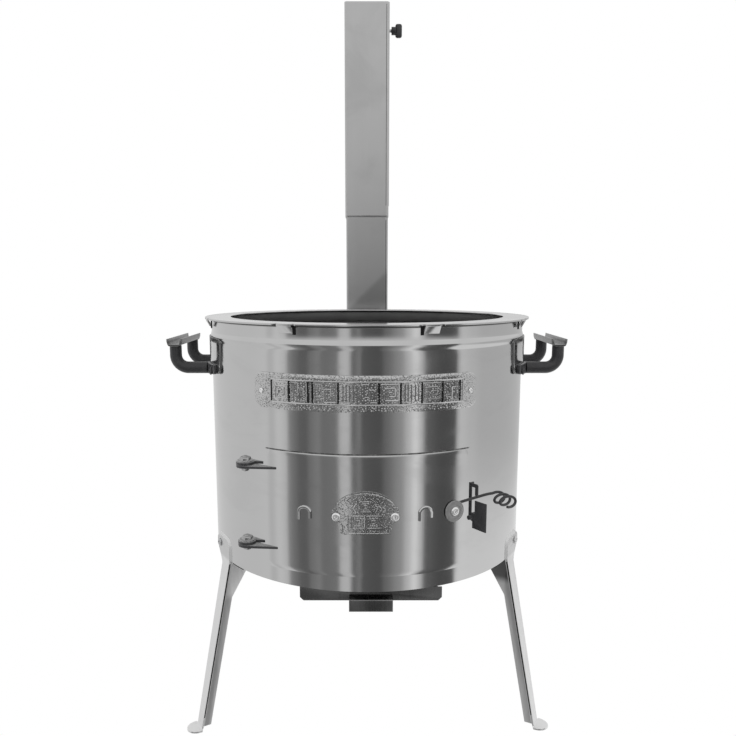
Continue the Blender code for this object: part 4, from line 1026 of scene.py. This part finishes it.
# rivets: one flange profile (shares of the radius and of the flange's height), set at each place
rivetProfile = [
    (0.0, 0.36), (0.22, 0.36), (0.30, 0.40), (0.36, 0.62), (0.42, 0.92), (0.52, 1.0), (0.70, 0.94),
    (0.86, 0.72), (0.96, 0.40), (1.0, 0.10), (1.0, 0.0), (0.43, 0.0), (0.43, -2.6), (0.0, -2.6),
]
rivetFlat = 0.34
rivets = {
    "name": {"radius": 0.0030, "body": "stove", "seat": 0.2018,
             "nodes": ("name_rivet_left", "name_rivet_right"),
             "places": ((-35.3, 0.43525), (34.5, 0.43525))},
    "emblem": {"radius": 0.0050, "body": "door", "seat": 0.2037,
               "nodes": ("emblem_rivet_left", "emblem_rivet_right"),
               "places": ((-9.415, 0.3018), (8.575, 0.3018))},
    "latch": {"radius": 0.0050, "body": "door", "seat": 0.2079, "nodes": ("latch_rivet",),
              "places": ((28.0, 0.3025),)},
    "handle": {"radius": 0.0046, "body": "stove", "seat": 0.2069, "look": "paint",
               "nodes": ("left_handle_front_rivet", "left_handle_rear_rivet", "right_handle_front_rivet",
                         "right_handle_rear_rivet"),
               "places": ((-66.0, 0.4465), (-114.0, 0.4465), (66.0, 0.4465), (114.0, 0.4465))},
}


def makeRivets():
    for label, s in rivets.items():
        bm = bmesh.new()
        profile = [(r * s["radius"], z * s["radius"] * rivetFlat) for r, z in rivetProfile]
        for azimuth, height in s["places"]:
            latheInto(bm, profile, 28, outward(azimuth, s["seat"], height))
        keepMesh(label + "_rivets", bm, s.get("look", "rivet"), s["body"], s["nodes"], 40.0)


makeRivets()

# latch: disc, bushing, lever with its wound grip, catch
latchShape = {
    "azimuth": 28.0, "height": 0.3025, "disc": 0.0122, "discSeat": 0.2060, "discSheet": 0.0015,
    "wire": 0.0016, "bore": 0.0024, "edge": 0.0003, "shadeRingBore": 0.0064, "shadeRingSheet": 0.0026,
    # turned grooves in the disc's face: middle, half width, depth
    "grooves": ((0.0064, 0.0004, 0.00012), (0.0109, 0.0004, 0.0001)),
    "offset": 0.2040, "eye": 0.0066, "sweep": 285.0, "rise": 8.9, "lean": 0.1156, "leanStart": 0.0125,
    "reach": 0.0440, "turns": 2.7, "points": 20, "start": 125.0, "middle": (0.0559, -0.0048, 0.0093),
    "step": (0.0044, -0.0045, -0.0020), "wide": 0.0091, "tall": 0.0056,
}


def leverPath():
    # eye round the bushing, straight run leaning outward, wound grip
    s = latchShape
    points = []
    rise = math.radians(s["rise"])
    leave = rise + math.radians(90)
    for k in range(25):
        angle = leave + math.radians(s["sweep"]) * (1 - k / 24)
        points.append(Vector((s["eye"] * math.cos(angle), 0.0, s["eye"] * math.sin(angle))))
    along = Vector((math.cos(rise), 0.0, math.sin(rise)))
    last = points[-1]
    for reach in (s["leanStart"], 0.5 * (s["leanStart"] + s["reach"]), s["reach"]):
        place = last + along * (reach - last.x) / along.x
        place.y = -s["lean"] * (reach - s["leanStart"])
        points.append(place)
    for k in range(round(s["turns"] * s["points"]) + 1):
        turns = k / s["points"]
        angle = math.radians(s["start"]) - turns * 2 * math.pi
        middle = Vector(s["middle"]) + Vector(s["step"]) * turns
        points.append(middle + Vector((s["wide"] * math.cos(angle), 0.0, s["tall"] * math.sin(angle))))
    turn = Matrix.Rotation(math.radians(s["azimuth"]), 4, "Z")
    origin = onWall(s["azimuth"], s["offset"], s["height"])
    return [origin + turn @ point for point in softCurve(points)]


def makeLatch():
    s = latchShape
    lever = tube("lever_wire", leverPath(), s["wire"], "paint", "latch", ("latch_lever",), 3)
    place = outward(s["azimuth"], s["discSeat"], s["height"])
    r, t, edge = s["disc"], s["discSheet"], s["edge"]
    profile = [(s["bore"], t)]
    for middle, half, depth in s["grooves"]:
        profile += [(middle - half, t), (middle, t - depth), (middle + half, t)]
    profile += [(r - edge, t), (r - 0.00008, t - 0.00012), (r, t - edge), (r, edge), (r - edge, 0.0),
                (s["bore"], 0.0), (s["bore"], t)]
    bm = bmesh.new()
    latheInto(bm, profile, 56, place)
    bmesh.ops.remove_doubles(bm, verts=bm.verts, dist=0.000001)
    washer = keepMesh("latch_washer", bm, "disc", "door", ("latch_disc",), 30.0)
    # painted shade and reflection: a dark ring between the disc and the door
    near, far, low, high = s["shadeRingBore"], r - 0.0004, -s["shadeRingSheet"], -0.0001
    back = bmesh.new()
    latheInto(back, [(near, low), (far, low), (far, high), (near, high)], 48, place)
    shadeRing = keepMesh("latch_shade_ring", back, "darkLinesAndShade", "door", (), 30.0)
    fromNode("latch_bushing", "bolt", "door", 0.0002)
    catch = fromNode("latch_catch", "paint", "stove", 0.00035)
    hideMirror(lever, washer, shadeRing, catch)


makeLatch()

# hinges: bolt with washer and domed head, lugs, nuts
hingeShape = {
    "pinX": -0.1368, "pinY": -0.1622, "levels": {"upper": 0.3548, "lower": 0.2623}, "head": 0.0066,
    "headTurn": 17, "washer": 0.0092, "washerTop": 0.0012, "shank": 0.0030, "shankEnd": -0.0115,
    # hexagon head as (share of its radius, height), then the bolt's round end in it
    "crown": ((0.0, 0.0052), (0.70, 0.0052), (0.86, 0.0048), (0.98, 0.0041), (1.0, 0.0038), (1.0, 0.0011),
              (0.0, 0.0011)),
    "end": ((0.0, 0.0062), (0.0022, 0.0061), (0.0029, 0.0056), (0.0030, 0.0050), (0.0, 0.0050)),
}


def makeHinges():
    s = hingeShape
    w, h, top = s["washer"], s["head"], s["washerTop"]
    washer = [(0.0, top), (h, top), (w - 0.0004, top), (w - 0.0001, 0.0010), (w, 0.0008), (w, 0.0004),
              (w - 0.0004, 0.0), (s["shank"], 0.0), (s["shank"], s["shankEnd"]), (0.0, s["shankEnd"])]
    crown = [(h * share, height) for share, height in s["crown"]]
    for side, level in s["levels"].items():
        place = Matrix.Translation((s["pinX"], stove["axisY"] + s["pinY"], level))
        bm = bmesh.new()
        latheInto(bm, washer, 40, place)
        latheInto(bm, crown, 6, place @ Matrix.Rotation(math.radians(s["headTurn"]), 4, "Z"))
        latheInto(bm, s["end"], 24, place)
        bolt = keepMesh(side + "_pin_bolt", bm, "pinBolt", "stove", (side + "_hinge_bolt",),
                        30.0)
        flatten(rounded(bolt, 0.0003, 2, 40.0))
        bolt.data.set_sharp_from_angle(angle=math.radians(40))
        nut = fromNode(side + "_hinge_nut", "pinBolt", "stove", 0.0004)
        bodyLug = fromNode(side + "_body_lug", "hinge", "stove", 0.0005)
        doorLug = fromNode(side + "_door_lug", "hinge", "door", 0.0005)
        hideMirror(bolt, nut, bodyLug, doorLug)


makeHinges()
print("stage: ring, rivets, latch and hinges made")

# carrying handles: back plate with turned edge, two bent arms, channel grip
handleShape = {
    "reach": 0.241, "spread": 0.0445, "tube": 0.0074, "bend": 0.0155, "low": 0.4465, "tip": 0.4742,
    "plateHalf": 31.0, "plateLow": 0.4445, "plateHigh": 0.4865, "corner": 0.013, "seat": 0.2016,
    "near": 11.0, "far": 28.0, "plateSheet": 0.0005, "upperCorner": 0.7, "rimSheet": 0.0005, "rimInset": 0.0004,
    "armStart": 0.2012, "tipLength": 0.0012, "footSheet": 0.003, "footCorner": 0.0045, "footRise": 0.005,
    "footTopRise": 0.001, "footEdge": 0.0005,
    "gripHalf": 0.054, "floorHalf": 0.0078, "lipHalf": 0.0092, "gripHeight": 0.0068, "gripSheet": 0.0015,
    "gripGap": 0.0004, "gripEdge": 0.00035, "foldEdge": 0.0003,
    # channel section as (from the floor's half width, above the floor), then the folded end below it
    "gripSide": ((-0.0016, 0.0), (-0.0004, 0.0004), (0.0002, 0.0016)),
    "foldSide": ((-0.0006, 0.0012), (-0.0006, -0.0002), (-0.0030, -0.0010)),
}


def armPath(side, end):
    s = handleShape
    y = s["spread"] * end
    bend, middle = s["bend"], s["reach"] - s["bend"]
    points = [Vector((s["armStart"], y, s["low"]))]
    for k in range(19):
        a = math.radians(-90 + 5 * k)
        points.append(Vector((middle + bend * math.cos(a), y, s["low"] + bend + bend * math.sin(a))))
    points.append(Vector((s["reach"], y, s["tip"] - s["tipLength"])))
    points.append(Vector((s["reach"], y, s["tip"])))
    return [Vector((side * p.x, p.y + stove["axisY"], p.z)) for p in points]


def makeHandlePlate(label, middle, skin):
    # a thin face whose edge is turned back to the wall and rests on the bead
    s = handleShape
    spans = roundedSpans(middle - s["plateHalf"], middle + s["plateHalf"], s["plateLow"], s["plateHigh"],
                         s["corner"], 1.5)
    # the upper corners are tighter than the lower ones
    spans = [(azimuth, low, high + s["upperCorner"] * (s["plateHigh"] - high))
             for azimuth, low, high in spans]
    bm = bentGrid(spans, 4, lambda azimuth, height: skin)
    plate = thicken(bm, label + "_back_plate", s["plateSheet"], "door", "stove", (label + "_handle_plate",),
                    edge=0.0)
    outline = [(azimuth, low) for azimuth, low, high in spans]
    outline += [(azimuth, high) for azimuth, low, high in reversed(spans)]
    rim = bmesh.new()
    loop = []
    for azimuth, height in outline:
        seat = stove["wall"] + beadBulge(height) + stove["gap"]
        loop.append([rim.verts.new(onWall(azimuth, radius, height))
                     for radius in (skin - s["rimInset"], seat)])
    for (outer, inner), (nextOuter, nextInner) in zip(loop, loop[1:] + loop[:1]):
        rim.faces.new((outer, inner, nextInner, nextOuter))
    # painted shade: the turned edge is dark steel
    turned = thicken(rim, label + "_plate_rim", s["rimSheet"], "seam", "stove", (),
                     edge=0.0, offset=0.0)
    hideMirror(plate, turned)


def makeArm(label, side, endName, end, skin):
    # a bent bar and the flat foot that carries it, which rises a little away from the plate's middle
    s = handleShape
    name, node = f"{label}_{endName}_arm", f"{label}_handle_{endName}_arm"
    tube(name + "_tube", armPath(side, end), s["tube"], "paint", "stove", (node,), 7)
    middle = 90.0 * side
    near, far = s["near"] * end * side, s["far"] * end * side
    left, right = sorted((middle + near, middle + far))
    face = skin + stove["gap"] + s["footSheet"]
    spans = []
    for azimuth, low, high in roundedSpans(left, right, s["low"] - s["tube"], s["low"] + s["tube"],
                                           s["footCorner"], 1.0):
        share = (azimuth - middle - near) / (far - near)
        spans.append((azimuth, low + s["footRise"] * share, high + s["footTopRise"] * share))
    foot = bentGrid(spans, 6, lambda azimuth, height: face)
    thicken(foot, name + "_foot", s["footSheet"], "paint", "stove", (), s["footEdge"])


def makeHandle(label, side):
    skin = handleShape["seat"] + stove["sheet"]
    makeHandlePlate(label, 90.0 * side, skin)
    for endName, end in (("front", -1), ("rear", 1)):
        makeArm(label, side, endName, end, skin)
    makeGrip(label, side)


def makeGrip(label, side):
    # channel that opens upwards, with a fold turned down over each end
    s = handleShape
    floor = s["tip"] + s["gripGap"]
    half, lip, top = s["floorHalf"], s["lipHalf"], floor + s["gripHeight"] + s["gripSheet"]
    right = [(half + out, floor + up) for out, up in s["gripSide"]]
    right += [(lip - 0.0004, top - 0.004), (lip, top)]
    section = [(-x, z) for x, z in reversed(right)] + right
    bm = bmesh.new()
    ys = [-s["gripHalf"] + 2 * s["gripHalf"] * k / 10 for k in range(11)]
    rows = [[bm.verts.new((side * s["reach"] + x, y + stove["axisY"], z)) for x, z in section] for y in ys]
    for first, second in zip(rows, rows[1:]):
        for k in range(len(section) - 1):
            bm.faces.new((first[k], first[k + 1], second[k + 1], second[k]))
    thicken(bm, label + "_grip_channel", s["gripSheet"], "grip", "stove", (label + "_handle_grip",),
            s["gripEdge"], offset=1.0)
    right = [(half + out, floor + up) for out, up in s["foldSide"]]
    section = [(-right[0][0], right[0][1]), *right, *[(-x, z) for x, z in reversed(right[1:])]]
    for endName, end in (("front", -1), ("rear", 1)):
        y = end * s["gripHalf"] + stove["axisY"]
        fold = bmesh.new()
        prismInto(fold, *[[(side * s["reach"] + x, level, z) for x, z in section]
                          for level in (y, y - end * s["gripSheet"])])
        piece = keepMesh(f"{label}_grip_{endName}_fold", fold, "grip", "stove", (), 35.0)
        flatten(rounded(piece, s["foldEdge"], 2, 40.0))


makeHandle("left", -1)
makeHandle("right", 1)


def legPlace(leg, along, inward, height):
    # along the flange towards its fold, inward from the flange's inner face
    s = legShape
    drop = max(0.0, s["top"] - height)
    lean = s["leans"][leg] * drop / s["top"]
    angle = math.radians(s["azimuths"][leg])
    flat = Vector((along * s["folds"][leg] + lean, -(s["radius"] + drop * s["slope"] - inward), 0.0))
    place = Matrix.Rotation(angle, 3, "Z") @ flat
    return Vector((place.x, place.y + stove["axisY"], height))


def makeLeg(leg):
    s = legShape
    azimuth, fold = s["azimuths"][leg], s["folds"][leg]
    solid = fromNode(leg + "_leg", "leg", "stove", 0.0006, 3)
    fromNode(leg + "_leg_bolt", "bolt" if leg == "left" else "weldAndHighlight", "stove", 0.0002)
    # dark line down the fold, and painted shadow: a dark strip along the wall's lower edge over the gusset
    steps, run = 12, s["lineLow"] - s["lineHigh"]
    down = [legPlace(leg, s["fold"] + 0.0001 - s["lineShift"] * k / steps, -0.0008,
                     s["lineHigh"] + run * k / steps) for k in range(steps + 1)]
    line = tube(leg + "_leg_fold_line", down, s["line"], "darkLinesAndShade", "stove", ())
    across = [onWall(azimuth + fold * (s["jointStart"] + s["jointStep"] * k), stove["wall"] - 0.0003,
                     s["top"] - 0.0006) for k in range(6)]
    joint = tube(leg + "_leg_joint", across, s["joint"], "darkLinesAndShade", "stove", ())
    # painted highlight: a pale satin strip that runs from the tongue's edge onto the wall
    pairs = []
    strip = bmesh.new()
    for along, height, beyond, level in s["fillet"]:
        turn = azimuth + fold * math.degrees(math.asin(beyond / stove["wall"]))
        pairs.append((strip.verts.new(legPlace(leg, along, -s["proud"], height)),
                      strip.verts.new(onWall(turn, stove["wall"] + 0.0001, level))))
    for near, far in zip(pairs, pairs[1:]):
        strip.faces.new((near[0], near[1], far[1], far[0]))
    fillet = thicken(strip, leg + "_leg_fillet", s["highlightSheet"], "weldAndHighlight", "stove", (),
                     edge=0.0, offset=0.0)
    hideMirror(solid, line, joint, fillet)


for leg in ("left", "right", "rear"):
    makeLeg(leg)

# floor, drawer on its rails, and a bright rod along the outer corner of the drawer's pull for a painted
# highlight
fromNode("bottom_plate", "door", "stove", 0.0003)
fromNode("left_drawer_rail", "rail", "stove", 0.0003)
fromNode("right_drawer_rail", "rail", "stove", 0.0003)
fromNode("ash_drawer", "drawer", "drawer", 0.0004)
pullHighlight = {
    "left": -0.0198, "out": 0.1992, "height": 0.2055, "length": 0.0486, "radius": 0.00085, "tip": 0.0006,
    "taper": 0.0004,
}


def makePullHighlight():
    # painted highlight: a rod of bright rail steel, lighter than the drawer, along the pull's bend
    s = pullHighlight
    length, tip, radius, taper = s["length"], s["tip"], s["radius"], s["taper"]
    profile = [(0.0, 0.0), (tip, 0.0), (radius, taper), (radius, length - taper), (tip, length),
               (0.0, length)]
    place = Matrix.Translation((s["left"], stove["axisY"] - s["out"], s["height"]))
    bm = bmesh.new()
    latheInto(bm, profile, 16, place @ Matrix.Rotation(math.radians(90), 4, "Y"))
    keepMesh("drawer_pull_highlight", bm, "rail", "drawer", (), 40.0)


makePullHighlight()

# cast grate: an outer rim and bars across it
grateShape = {
    "radius": 0.090, "low": 0.2178, "height": 0.008, "bars": 8, "pitch": 0.0178, "bar": 0.0042, "rim": 0.0115,
    "barOverlap": 0.002,
}


def makeGrate():
    s = grateShape
    r, h, inner = s["radius"], s["height"], s["radius"] - s["rim"]
    rim = [(r, 0.0008), (r, h - 0.0012), (r - 0.0012, h), (inner, h), (inner - 0.0005, h - 0.0010),
           (inner + 0.0006, 0.0), (r - 0.0008, 0.0), (r, 0.0008)]
    bm = bmesh.new()
    latheInto(bm, rim, 72, Matrix.Translation((0.0, stove["axisY"], s["low"])))
    bmesh.ops.remove_doubles(bm, verts=bm.verts, dist=0.000001)
    keepMesh("grate_rim", bm, "iron", "grate", ("fire_grate",), 40.0)
    # a bar of length 1, which the tree stretches across the rim
    half, slim = s["bar"] / 2, s["bar"] / 2 * 0.7
    section = [(-slim, 0.0003), (slim, 0.0003), (half, h - 0.0010), (slim, h - 0.0002), (-slim, h - 0.0002),
               (-half, h - 0.0010)]
    unit = bmesh.new()
    prismInto(unit, *[[(x, y, z + s["low"]) for x, z in section] for y in (-0.5, 0.5)])
    bmesh.ops.recalc_face_normals(unit, faces=unit.faces)
    tree, ins = newTree("bars across the grate", [
        ("Count", "NodeSocketInt", 8), ("Pitch", "NodeSocketFloat", 0.0178),
        ("Reach", "NodeSocketFloat", 0.08), ("Axis Y", "NodeSocketFloat", 0.0),
    ])
    start = ins["Pitch"] * (ins["Count"] - 1) * -0.5
    row = addNode(tree, "GeometryNodeMeshLine", {}, {
        "Count": ins["Count"], "Start Location": vectorOf(tree, start, ins["Axis Y"], 0.0),
        "Offset": vectorOf(tree, ins["Pitch"], 0.0, 0.0)})
    parts = addNode(tree, "ShaderNodeSeparateXYZ", {}, {0: addNode(tree, "GeometryNodeInputPosition")})
    length = (ins["Reach"] * ins["Reach"] - parts * parts).math("SQRT") * 2.0
    many = addNode(tree, "GeometryNodeInstanceOnPoints", {}, {
        "Points": row, "Instance": ins["Geometry"], "Scale": vectorOf(tree, 1.0, length, 1.0)})
    endTree(tree, many, "iron")
    values = {
        "Count": s["bars"], "Pitch": s["pitch"], "Reach": inner + s["barOverlap"], "Axis Y": stove["axisY"],
    }
    grow("grate_bars", tree, meshOf("bar_unit", unit), values, "iron", "grate")


makeGrate()

# flue: box, two tubes with a folded seam, damper
flueShape = {
    "y": 0.2548, "lower": 0.0655, "upper": 0.0685, "wall": 0.0010, "corner": 0.004, "lowerFrom": 0.4054,
    "lowerTo": 0.6945, "upperFrom": 0.6545, "upperTo": 0.9734, "seam": 0.0062, "seamRise": 0.0005,
    "seamStart": 0.001, "joint": 0.0302, "jointEnd": 0.004, "socket": 0.041, "gapUnder": 0.001,
    "seamLift": 0.0175,
}


def squareTube(name, width, low, high, body, nodes):
    s = flueShape
    half, corner = width / 2, s["corner"]
    flat = half - corner
    loop = []
    for quarter, (right, back) in enumerate(((1, 1), (-1, 1), (-1, -1), (1, -1))):
        for k in range(7):
            a = math.radians(90 * quarter + 15 * k)
            loop.append((flat * right + corner * math.cos(a), flat * back + corner * math.sin(a)))
    bm = bmesh.new()
    rows = []
    heights = [low, low + 0.003] + [low + (high - low) * k / 10 for k in range(1, 10)] + [high - 0.003, high]
    for z in heights:
        rows.append([bm.verts.new((x, y + stove["axisY"] + s["y"], z)) for x, y in loop])
    for first, second in zip(rows, rows[1:]):
        for k in range(len(loop)):
            n = (k + 1) % len(loop)
            bm.faces.new((first[k], first[n], second[n], second[k]))
    return thicken(bm, name, s["wall"], "flue", body, nodes, 0.0003)


def makeTubeLines(label, width, low, high):
    # folded lock seam down the right side, near the front corner, and a thin dark joint on the front face
    s = flueShape
    x, front = width / 2, stove["axisY"] + s["y"] - width / 2
    y0, y1, rise = front + s["corner"] - s["seamStart"], front + s["corner"] + s["seam"], s["seamRise"]
    section = [(x - 0.0004, y0), (x + rise * 0.8, y0 + 0.0004), (x + rise, y0 + 0.0012),
               (x + rise, y1 - 0.0005), (x + rise * 0.6, y1), (x - 0.0004, y1)]
    seam = bmesh.new()
    prismInto(seam, *[[(a, b, z) for a, b in section] for z in (low, high)])
    keepMesh(f"flue_{label}_seam", seam, "flue", "flue_" + label, (), 30.0)
    j = s["joint"]
    section = [(j - 0.0004, front + 0.0002), (j - 0.0003, front - 0.0001), (j + 0.0003, front - 0.0001),
               (j + 0.0004, front + 0.0002)]
    line = bmesh.new()
    prismInto(line, *[[(a, b, z) for a, b in section] for z in (low, high - s["jointEnd"])])
    keepMesh(f"flue_{label}_joint", line, "darkLinesAndShade", "flue_" + label, (), 30.0)


def makeFlue():
    s = flueShape
    squareTube("flue_lower_tube", s["lower"], s["lowerFrom"], s["lowerTo"], "flue_lower", ("chimney_lower",))
    squareTube("flue_upper_tube", s["upper"], s["upperFrom"], s["upperTo"], "flue_upper", ("chimney_upper",))
    makeTubeLines("lower", s["lower"], s["lowerFrom"] + s["socket"], s["upperFrom"] - s["gapUnder"])
    makeTubeLines("upper", s["upper"], s["upperFrom"] + s["seamLift"], s["upperTo"])
    fromNode("flue_box", "flue", "stove", 0.0004)


makeFlue()
fromNode("damper_plate", "flue", "damper", 0.0003)
fromNode("damper_shaft", "bolt", "damper", 0.0003)
fromNode("damper_nut", "bolt", "damper", 0.0004)
fromNode("damper_knob", "paint", "damper", 0.0006, 3)
print("stage: handles, legs, grate and flue made")

# studio: pale floor, white backdrop, soft lamps; dark and bright cards stand in front of the stove

studio = {
    "floor": 0.94, "diffuse": 0.92, "side": 0.80, "ceiling": 0.80,
    "lowEdge": 0.0, "highEdge": 0.11,
    # low down on the right, from these heights and directions on, the room is brighter
    "brightLow": (-0.36, -0.20), "brightRight": (64.0, 70.0), "bright": 0.95, "brightShare": 0.8,
    # lamps: name, place, aim, size (metres), power (watts)
    "lamps": (
        ("key", (-1.3, -1.5, 2.3), (0.0, 0.0, 0.35), 1.6, 14.0),
        ("fill", (1.7, -1.1, 1.6), (0.0, 0.0, 0.35), 1.4, 6.0),
        ("back", (0.3, 1.9, 2.0), (0.0, 0.0, 0.4), 1.5, 7.0),
    ),
    # cards in front, by direction from the stove (degrees, brightness)
    "cards": (
        (-90, 0.74), (-76, 0.76), (-72, 0.64), (-65, 0.78), (-59, 0.70), (-56, 0.30), (-51, 0.22),
        (-48, 0.16), (-43, 0.15), (-40, 0.24), (-34, 0.30), (-31, 0.22), (-21, 0.24), (-18.5, 0.66),
        (-13, 0.70), (-10, 0.16), (-4.8, 0.30), (-3.8, 0.13), (9.5, 0.11), (13, 0.20), (24, 0.38),
        (29, 0.66), (34.5, 0.98), (38.5, 0.70), (42.5, 0.15), (55, 0.10), (65, 0.11), (67.5, 0.60),
        (70, 0.74), (80, 0.66), (90, 0.60),
    ),
}


def makeRoom():
    s = studio
    world = bpy.data.worlds.new("studio")
    scene.world = world
    world.use_nodes = True
    world.cycles.sampling_method = "NONE"
    tree = world.node_tree
    background = tree.nodes["Background"]
    parts = addNode(tree, "ShaderNodeSeparateXYZ", {}, {0: addNode(tree, "ShaderNodeTexCoord")})
    x, y, z = parts, parts.other("Y"), parts.other("Z")
    turn = addNode(tree, "ShaderNodeMath", {"operation": "ARCTAN2"}, {0: x, 1: y * -1.0}) * (180 / math.pi)
    stops = [((angle + 90) / 180, (tone, tone, tone, 1.0)) for angle, tone in s["cards"]]
    share = (turn + 90.0) / 180.0
    cards = addNode(tree, "ShaderNodeValToRGB", {"rampMode": "EASE", "stops": stops}, {0: share})
    low = (1 - z.ramp(*s["brightLow"])) * turn.ramp(*s["brightRight"])
    cards = mixColour(tree, low * s["brightShare"], cards, (s["bright"],) * 3)
    above = z.ramp(s["lowEdge"], s["highEdge"])
    light = mixColour(tree, z.ramp(0.0, 0.9), (s["side"],) * 3, (s["ceiling"],) * 3)
    room = mixColour(tree, above, cards, light)
    # mirrors see the room, the camera sees white
    path = addNode(tree, "ShaderNodeLightPath")
    seen = mixColour(tree, path.other("Is Glossy Ray"), (s["diffuse"],) * 3, room)
    seen = mixColour(tree, path, seen, (1.0, 1.0, 1.0))
    tree.links.new(seen.socket, background.inputs["Color"])
    background.inputs["Strength"].default_value = 1.0


def makeFloor():
    s = studio
    bpy.ops.mesh.primitive_plane_add(size=40.0, location=(0.0, 0.0, -0.0002))
    floor = bpy.context.object
    floor.name = "studio_floor"
    floor.visible_glossy = False
    material, tree, shader = blankMaterial("studio_floor")
    place = addNode(tree, "ShaderNodeTexCoord").other("Object")
    grain = noise(tree, place, 3.0, 2.0, 0.5)
    tone = mixColour(tree, grain, (s["floor"],) * 3, (s["floor"] * 0.99,) * 3)
    plug(tree, shader, colour=tone, roughness=0.9)
    shader.inputs["Specular IOR Level"].default_value = 0.0
    # seen by the camera, the floor is part of the white backdrop
    camera = addNode(tree, "ShaderNodeLightPath")
    white = addNode(tree, "ShaderNodeEmission", {}, {"Color": (1.0, 1.0, 1.0, 1.0), "Strength": 1.0})
    fade = tree.nodes.new("ShaderNodeMixShader")
    tree.links.new(camera.socket, fade.inputs[0])
    tree.links.new(shader.outputs[0], fade.inputs[1])
    tree.links.new(white.socket, fade.inputs[2])
    tree.links.new(fade.outputs[0], tree.nodes["Material Output"].inputs["Surface"])
    floor.data.materials.append(material)


def makeLamps():
    for name, place, aim, size, power in studio["lamps"]:
        lamp = bpy.data.lights.new(name, "AREA")
        lamp.shape = "SQUARE"
        lamp.size = size
        lamp.energy = power
        item = bpy.data.objects.new(name, lamp)
        item.location = place
        item.rotation_euler = (Vector(aim) - Vector(place)).to_track_quat("-Z", "Y").to_euler()
        item.visible_glossy = False
        scene.collection.objects.link(item)


makeRoom()
makeFloor()
makeLamps()

# the photograph's camera, solved from its ellipses and upright tube
view = {
    "lens": 35.472, "sensor": 36.0, "back": 0.9568, "height": 0.5553, "pitch": 8.84, "shiftX": 0.0015,
    "shiftY": 0.0341,
}
camera = bpy.data.cameras.new("photograph")
camera.lens = view["lens"]
camera.sensor_width = view["sensor"]
camera.shift_x = view["shiftX"]
camera.shift_y = view["shiftY"]
eye = bpy.data.objects.new("photograph", camera)
eye.location = (0.0, stove["axisY"] - view["back"], view["height"])
eye.rotation_euler = (math.radians(90.0 - view["pitch"]), 0.0, 0.0)
scene.collection.objects.link(eye)
scene.camera = eye
scene.view_settings.view_transform = "Standard"
print("stage: studio and camera set")
